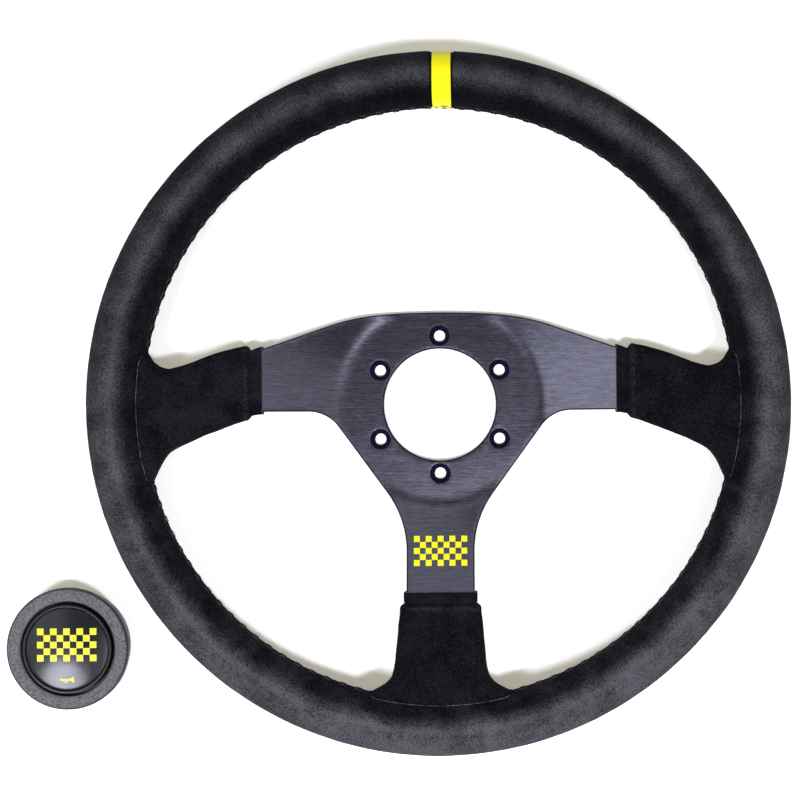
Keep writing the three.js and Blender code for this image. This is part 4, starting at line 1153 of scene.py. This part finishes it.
def horn_bezel():
    """The barrel with the groove of its grip ring, the rounder flange, and the skirt inside."""
    half = GRIP_RING_RADIUS + 0.2 * MM
    groove_floor = GRIP_RING_CIRCLE - half
    outside = [
        (SKIRT_INNER, 0), (BARREL_RADIUS, 0),
        (BARREL_RADIUS, GRIP_RING_HEIGHT - half), (groove_floor, GRIP_RING_HEIGHT - half),
        (groove_floor, GRIP_RING_HEIGHT + half), (BARREL_RADIUS, GRIP_RING_HEIGHT + half),
        (BARREL_RADIUS, BARREL_DEPTH), (FLANGE_RADIUS, BARREL_DEPTH),
    ]
    flange = [(FLANGE_RADIUS, BARREL_DEPTH), (FLANGE_RADIUS, BEZEL_TOP),
              (BEZEL_OPENING, BEZEL_TOP), (BEZEL_OPENING, BARREL_DEPTH)]
    inside = [(BEZEL_OPENING, BARREL_DEPTH), (BARREL_INNER, BARREL_DEPTH),
              (BARREL_INNER, SKIRT_DEPTH), (SKIRT_INNER, SKIRT_DEPTH)]
    profile = rounded(outside, 0.35 * MM, closed=False)[:-1] + rounded(flange, 1.9 * MM, 8, closed=False)
    profile += rounded(inside, 0.25 * MM, closed=False)[1:]
    bezel = turned("horn_bezel_skin", profile, BUTTON, "bezel")
    settle(bezel, "horn_button", "textured_plastic", "horn_bezel")


def push_cap():
    """The cap with its recess for the badge, notched where the bezel's bosses stand."""
    profile = [
        (ON_AXIS, CAP_CEILING), (CAP_INNER, CAP_CEILING), (CAP_INNER, COLLAR_UNDER),
        (COLLAR_RADIUS, COLLAR_UNDER), (COLLAR_RADIUS, COLLAR_TOP), (CAP_RADIUS, COLLAR_TOP),
        (CAP_RADIUS, CAP_TOP), (RECESS_RADIUS, CAP_TOP), (RECESS_RADIUS, CAP_RECESS), (ON_AXIS, CAP_RECESS),
    ]
    cap = turned("push_cap_skin", rounded(profile, 0.3 * MM, closed=False), BUTTON, "cap", closed=False)
    radius, low, high, soft = BOSS_RADIUS + 0.45 * MM, 5 * MM, BARREL_DEPTH + 0.1 * MM, 0.15 * MM
    notch = [(ON_AXIS, low), (radius - soft, low), (radius, low + soft),
             (radius, high - soft), (radius - soft, high), (ON_AXIS, high)]
    places = on_circle(BUTTON, BOSS_CIRCLE_RADIUS, turns(3, math.pi / 2))
    cut_with(cap, [turned("notch", notch, place.to_3d(), "cap", 32, closed=False) for place in places])
    settle(cap, "push_cap", "cap_plastic", "push_cap")


def crown(distance):
    """The height of the badge's domed face at a distance from its middle."""
    return CAP_RECESS + BADGE_EDGE + BADGE_CROWN * (1 - (distance / BADGE_RADIUS) ** 2)


def cap_badge():
    """The badge: a disc with a soft edge and a domed face."""
    soft = 0.25 * MM
    face_radius, edge_height = BADGE_RADIUS - soft, crown(BADGE_RADIUS) - soft
    profile = [(ON_AXIS, CAP_RECESS), (BADGE_RADIUS, CAP_RECESS)]
    profile += on_circle((face_radius, edge_height), soft, steps(0, math.pi / 2, 4))
    profile += [(max(radius, ON_AXIS), crown(radius)) for radius in steps(face_radius, 0, 24)[1:]]
    badge = turned("cap_badge_skin", profile, BUTTON, "badge", closed=False)
    settle(badge, "push_cap", "gloss_badge", "cap_badge")


def on_badge(x, y):
    return crown(math.hypot(x - BUTTON.x, y - BUTTON.y)) + BADGE_PRINT_HEIGHT


def horn_sign():
    """The usual sign for a horn: a bell with its tube, and a ring over the tube."""
    middle = BUTTON.xy + Vector((0, HORN_SIGN_SHIFT))
    upper = [(-3.4, 0.5), (-2.7, 0.32), (1.2, 0.32), (2.5, 0.9), (3.5, 1.7)]
    outline = [middle + Vector(p) * MM for p in upper + [(x, -y) for x, y in reversed(upper)]]
    edges = [(i, (i + 1) % len(outline)) for i in range(len(outline))]
    flat, _, faces = delaunay_2d_cdt(outline, edges, [], 1, 1e-8)[:3]
    vertices = [(*p, on_badge(*p)) for p in flat]
    ring, count = [], 24
    for angle in turns(count):
        for radius in (0.85, 0.5):
            reach = Vector((1.35 * radius * math.cos(angle) - 0.6, radius * math.sin(angle) - 0.75))
            x, y = middle + reach * MM
            ring.append((x, y, on_badge(x, y) + 0.004 * MM))
    quads = [(a, (a + 2) % (2 * count), (a + 3) % (2 * count), a + 1) for a in range(0, 2 * count, 2)]
    add_to(vertices, faces, ring, quads)
    return vertices, faces


def badge_print():
    vertices, faces = chequers(BUTTON.xy + Vector((0, BADGE_PRINT_SHIFT)), BADGE_PRINT_SQUARE, on_badge)
    add_to(vertices, faces, *horn_sign())
    settle(mesh_object("badge_print", vertices, faces, "badge_print"), "push_cap", "yellow_leather")


def grip_ring():
    profile = on_circle((GRIP_RING_CIRCLE, GRIP_RING_HEIGHT), GRIP_RING_RADIUS, turns(20))
    settle(turned("grip_ring_skin", profile, BUTTON, "rubber"), "horn_button", "rubber", "grip_ring")


def return_spring():
    """A tapered coil of three turns."""
    low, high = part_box("return_spring")
    wire, coils, cuts, travel = 0.45 * MM, 3, 96, 2.5 * MM
    angles = steps(0, coils * 2 * math.pi, cuts)
    radii = steps(8.6 * MM, 4.9 * MM, cuts)
    heights = steps(low.z + wire, high.z - wire, cuts)
    points = [BUTTON + Vector((radius * math.cos(angle), radius * math.sin(angle), height))
              for angle, radius, height in zip(angles, radii, heights)]
    spring = mesh_object("return_spring_skin", *tube(points, wire, sides=10), "steel")
    settle(spring, "horn_button", "steel", "return_spring")
    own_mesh(spring)


horn_bezel()
push_cap()
cap_badge()
badge_print()
grip_ring()
return_spring()


# The hidden hardware keeps its solids, with softened edges where a bevel is given

def dress(material, bevel, *nodes):
    for node in nodes:
        piece = frame["nodes"][node]
        piece.data.materials.clear()
        piece.data.materials.append(MATERIALS[material])
        if bevel:
            edges = piece.modifiers.new("edges", "BEVEL")
            edges.width = bevel
            edges.segments = 2
            edges.angle_limit = math.radians(40)


dress("aluminium", 0, "rim_hoop", *[f"hoop_rivet_{spoke.name}_{i}" for spoke in SPOKES for i in (1, 2)])
dress("base", 0.2 * MM, "horn_base")
dress("brass", 0, "moving_contact", "fixed_contact", "spring_seat", "eyelet_spring", "eyelet_ring")
dress("brass", 0.1 * MM, "spade_spring", "spade_ring")
dress("steel", 0, "base_screw_1", "base_screw_2", "base_screw_3")


# The floor, the light and the camera

def floor():
    """A white sheet, lifted a little towards white where it is looked at or mirrored."""
    g = Surface("pale_floor")
    g.set(Base_Color=(0.93, 0.93, 0.92, 1), Roughness=0.9, Specular_IOR_Level=0.0)
    path = g.add("ShaderNodeLightPath").outputs
    seen = g.math("MAXIMUM", path["Is Camera Ray"], path["Is Glossy Ray"], path["Is Transmission Ray"])
    away = g.from_axis(HUB)
    near, far = 0.45, 1.2
    # Painted light: near the hub the floor glows faint and warm, which lifts its shadows and tints them
    # warm; far off it glows full white.
    glow = g.add("ShaderNodeEmission", {
        "Color": g.mix(g.range(away, near, far), (1, 0.94, 0.74), (1, 1, 1)),
        "Strength": g.math("MULTIPLY", seen, g.range(away, near, far, FLOOR_LIFT, 1.0)),
    })
    both = g.add("ShaderNodeAddShader", {0: g.shader.outputs["BSDF"], 1: glow.outputs[0]})
    g.put(g.output, "Surface", both.outputs[0])
    bpy.ops.mesh.primitive_plane_add(size=60, location=(0, 0, -0.05 * MM))
    plane = bpy.context.object
    plane.name = "floor"
    plane.data.materials.append(g.material)


def world():
    """A dim room with four soft boxes overhead, which the plate, with its brushing lines, mirrors."""
    room = bpy.data.worlds.new("room")
    bpy.context.scene.world = room
    room.use_nodes = True
    g = Graph(room.node_tree)
    place = g.add("ShaderNodeTexCoord").outputs["Generated"]
    direction = g.add("ShaderNodeSeparateXYZ", {0: place}).outputs
    soft = 0.05

    def band(axis, middle, half, top=1.0):
        away = g.math("ABSOLUTE", g.math("SUBTRACT", direction[axis], middle))
        return g.range(away, half + soft, half, 0.0, top)

    def window(x, y, half_x, half_y, strength):
        """A soft box: x and y are the components of the direction in which it hangs."""
        return g.math("MULTIPLY", band("X", x, half_x, strength), band("Y", y, half_y))

    strength = g.math(
        "ADD", g.range(direction["Z"], 0.6, 0.1, 0.0, 0.12), 0.1,
        window(-0.35, 0.01, 0.08, 0.14, 1.45), window(0.0, -0.165, 0.07, 0.07, 3.9),
        window(0.25, 0.03, 0.13, 0.1, 0.65), window(0.0, 0.29, 0.1, 0.11, 0.65),
    )
    light = g.add("ShaderNodeBackground", {"Color": (0.98, 0.985, 1, 1), "Strength": strength})
    g.add("ShaderNodeOutputWorld", {0: light.outputs[0]})


def lamp(name, place, watts, size):
    """A round soft lamp that shines on the hub."""
    data = bpy.data.lights.new(name, "AREA")
    data.shape = "DISK"
    data.size = size
    data.energy = watts
    data.color = (0.875, 0.89, 1)
    made = bpy.data.objects.new(name, data)
    bpy.context.scene.collection.objects.link(made)
    made.location = HUB + Vector(place)
    made.rotation_euler = Vector(place).to_track_quat("Z", "Y").to_euler()
    return made


def camera():
    """Straight above, a little right of and below the hub, with the lens shifted to frame both pieces."""
    data = bpy.data.cameras.new("camera")
    view = bpy.data.objects.new("camera", data)
    bpy.context.scene.collection.objects.link(view)
    picture = 800
    focal = 1680.7
    below_x, below_y = 486.0, 438.0  # the pixel straight below the camera
    turn = math.radians(0.4)
    data.sensor_width = 36
    data.lens = focal / picture * data.sensor_width
    data.shift_x = (picture / 2 - below_x) / picture
    data.shift_y = (below_y - picture / 2) / picture
    data.clip_start, data.clip_end = 0.01, 100
    from_hub_to_eye = Vector((23.5 * MM, -17.1 * MM, 860 * MM))
    from_hub_to_eye.rotate(Matrix.Rotation(-turn, 3, "Z"))
    view.location = HUB + from_hub_to_eye
    view.rotation_euler = (0, 0, -turn)
    bpy.context.scene.camera = view


floor()
world()
lamp("left_lamp", (-0.48, -0.41, 1.1), 2.5, 0.2)
lamp("left_fill", (-0.42, -0.36, 1.1), 9.3, 0.2).visible_glossy = False
lamp("right_lamp", (0.32, -0.31, 1.1), 11.0, 0.13).visible_glossy = False
camera()
bpy.context.scene.view_settings.view_transform = "Standard"
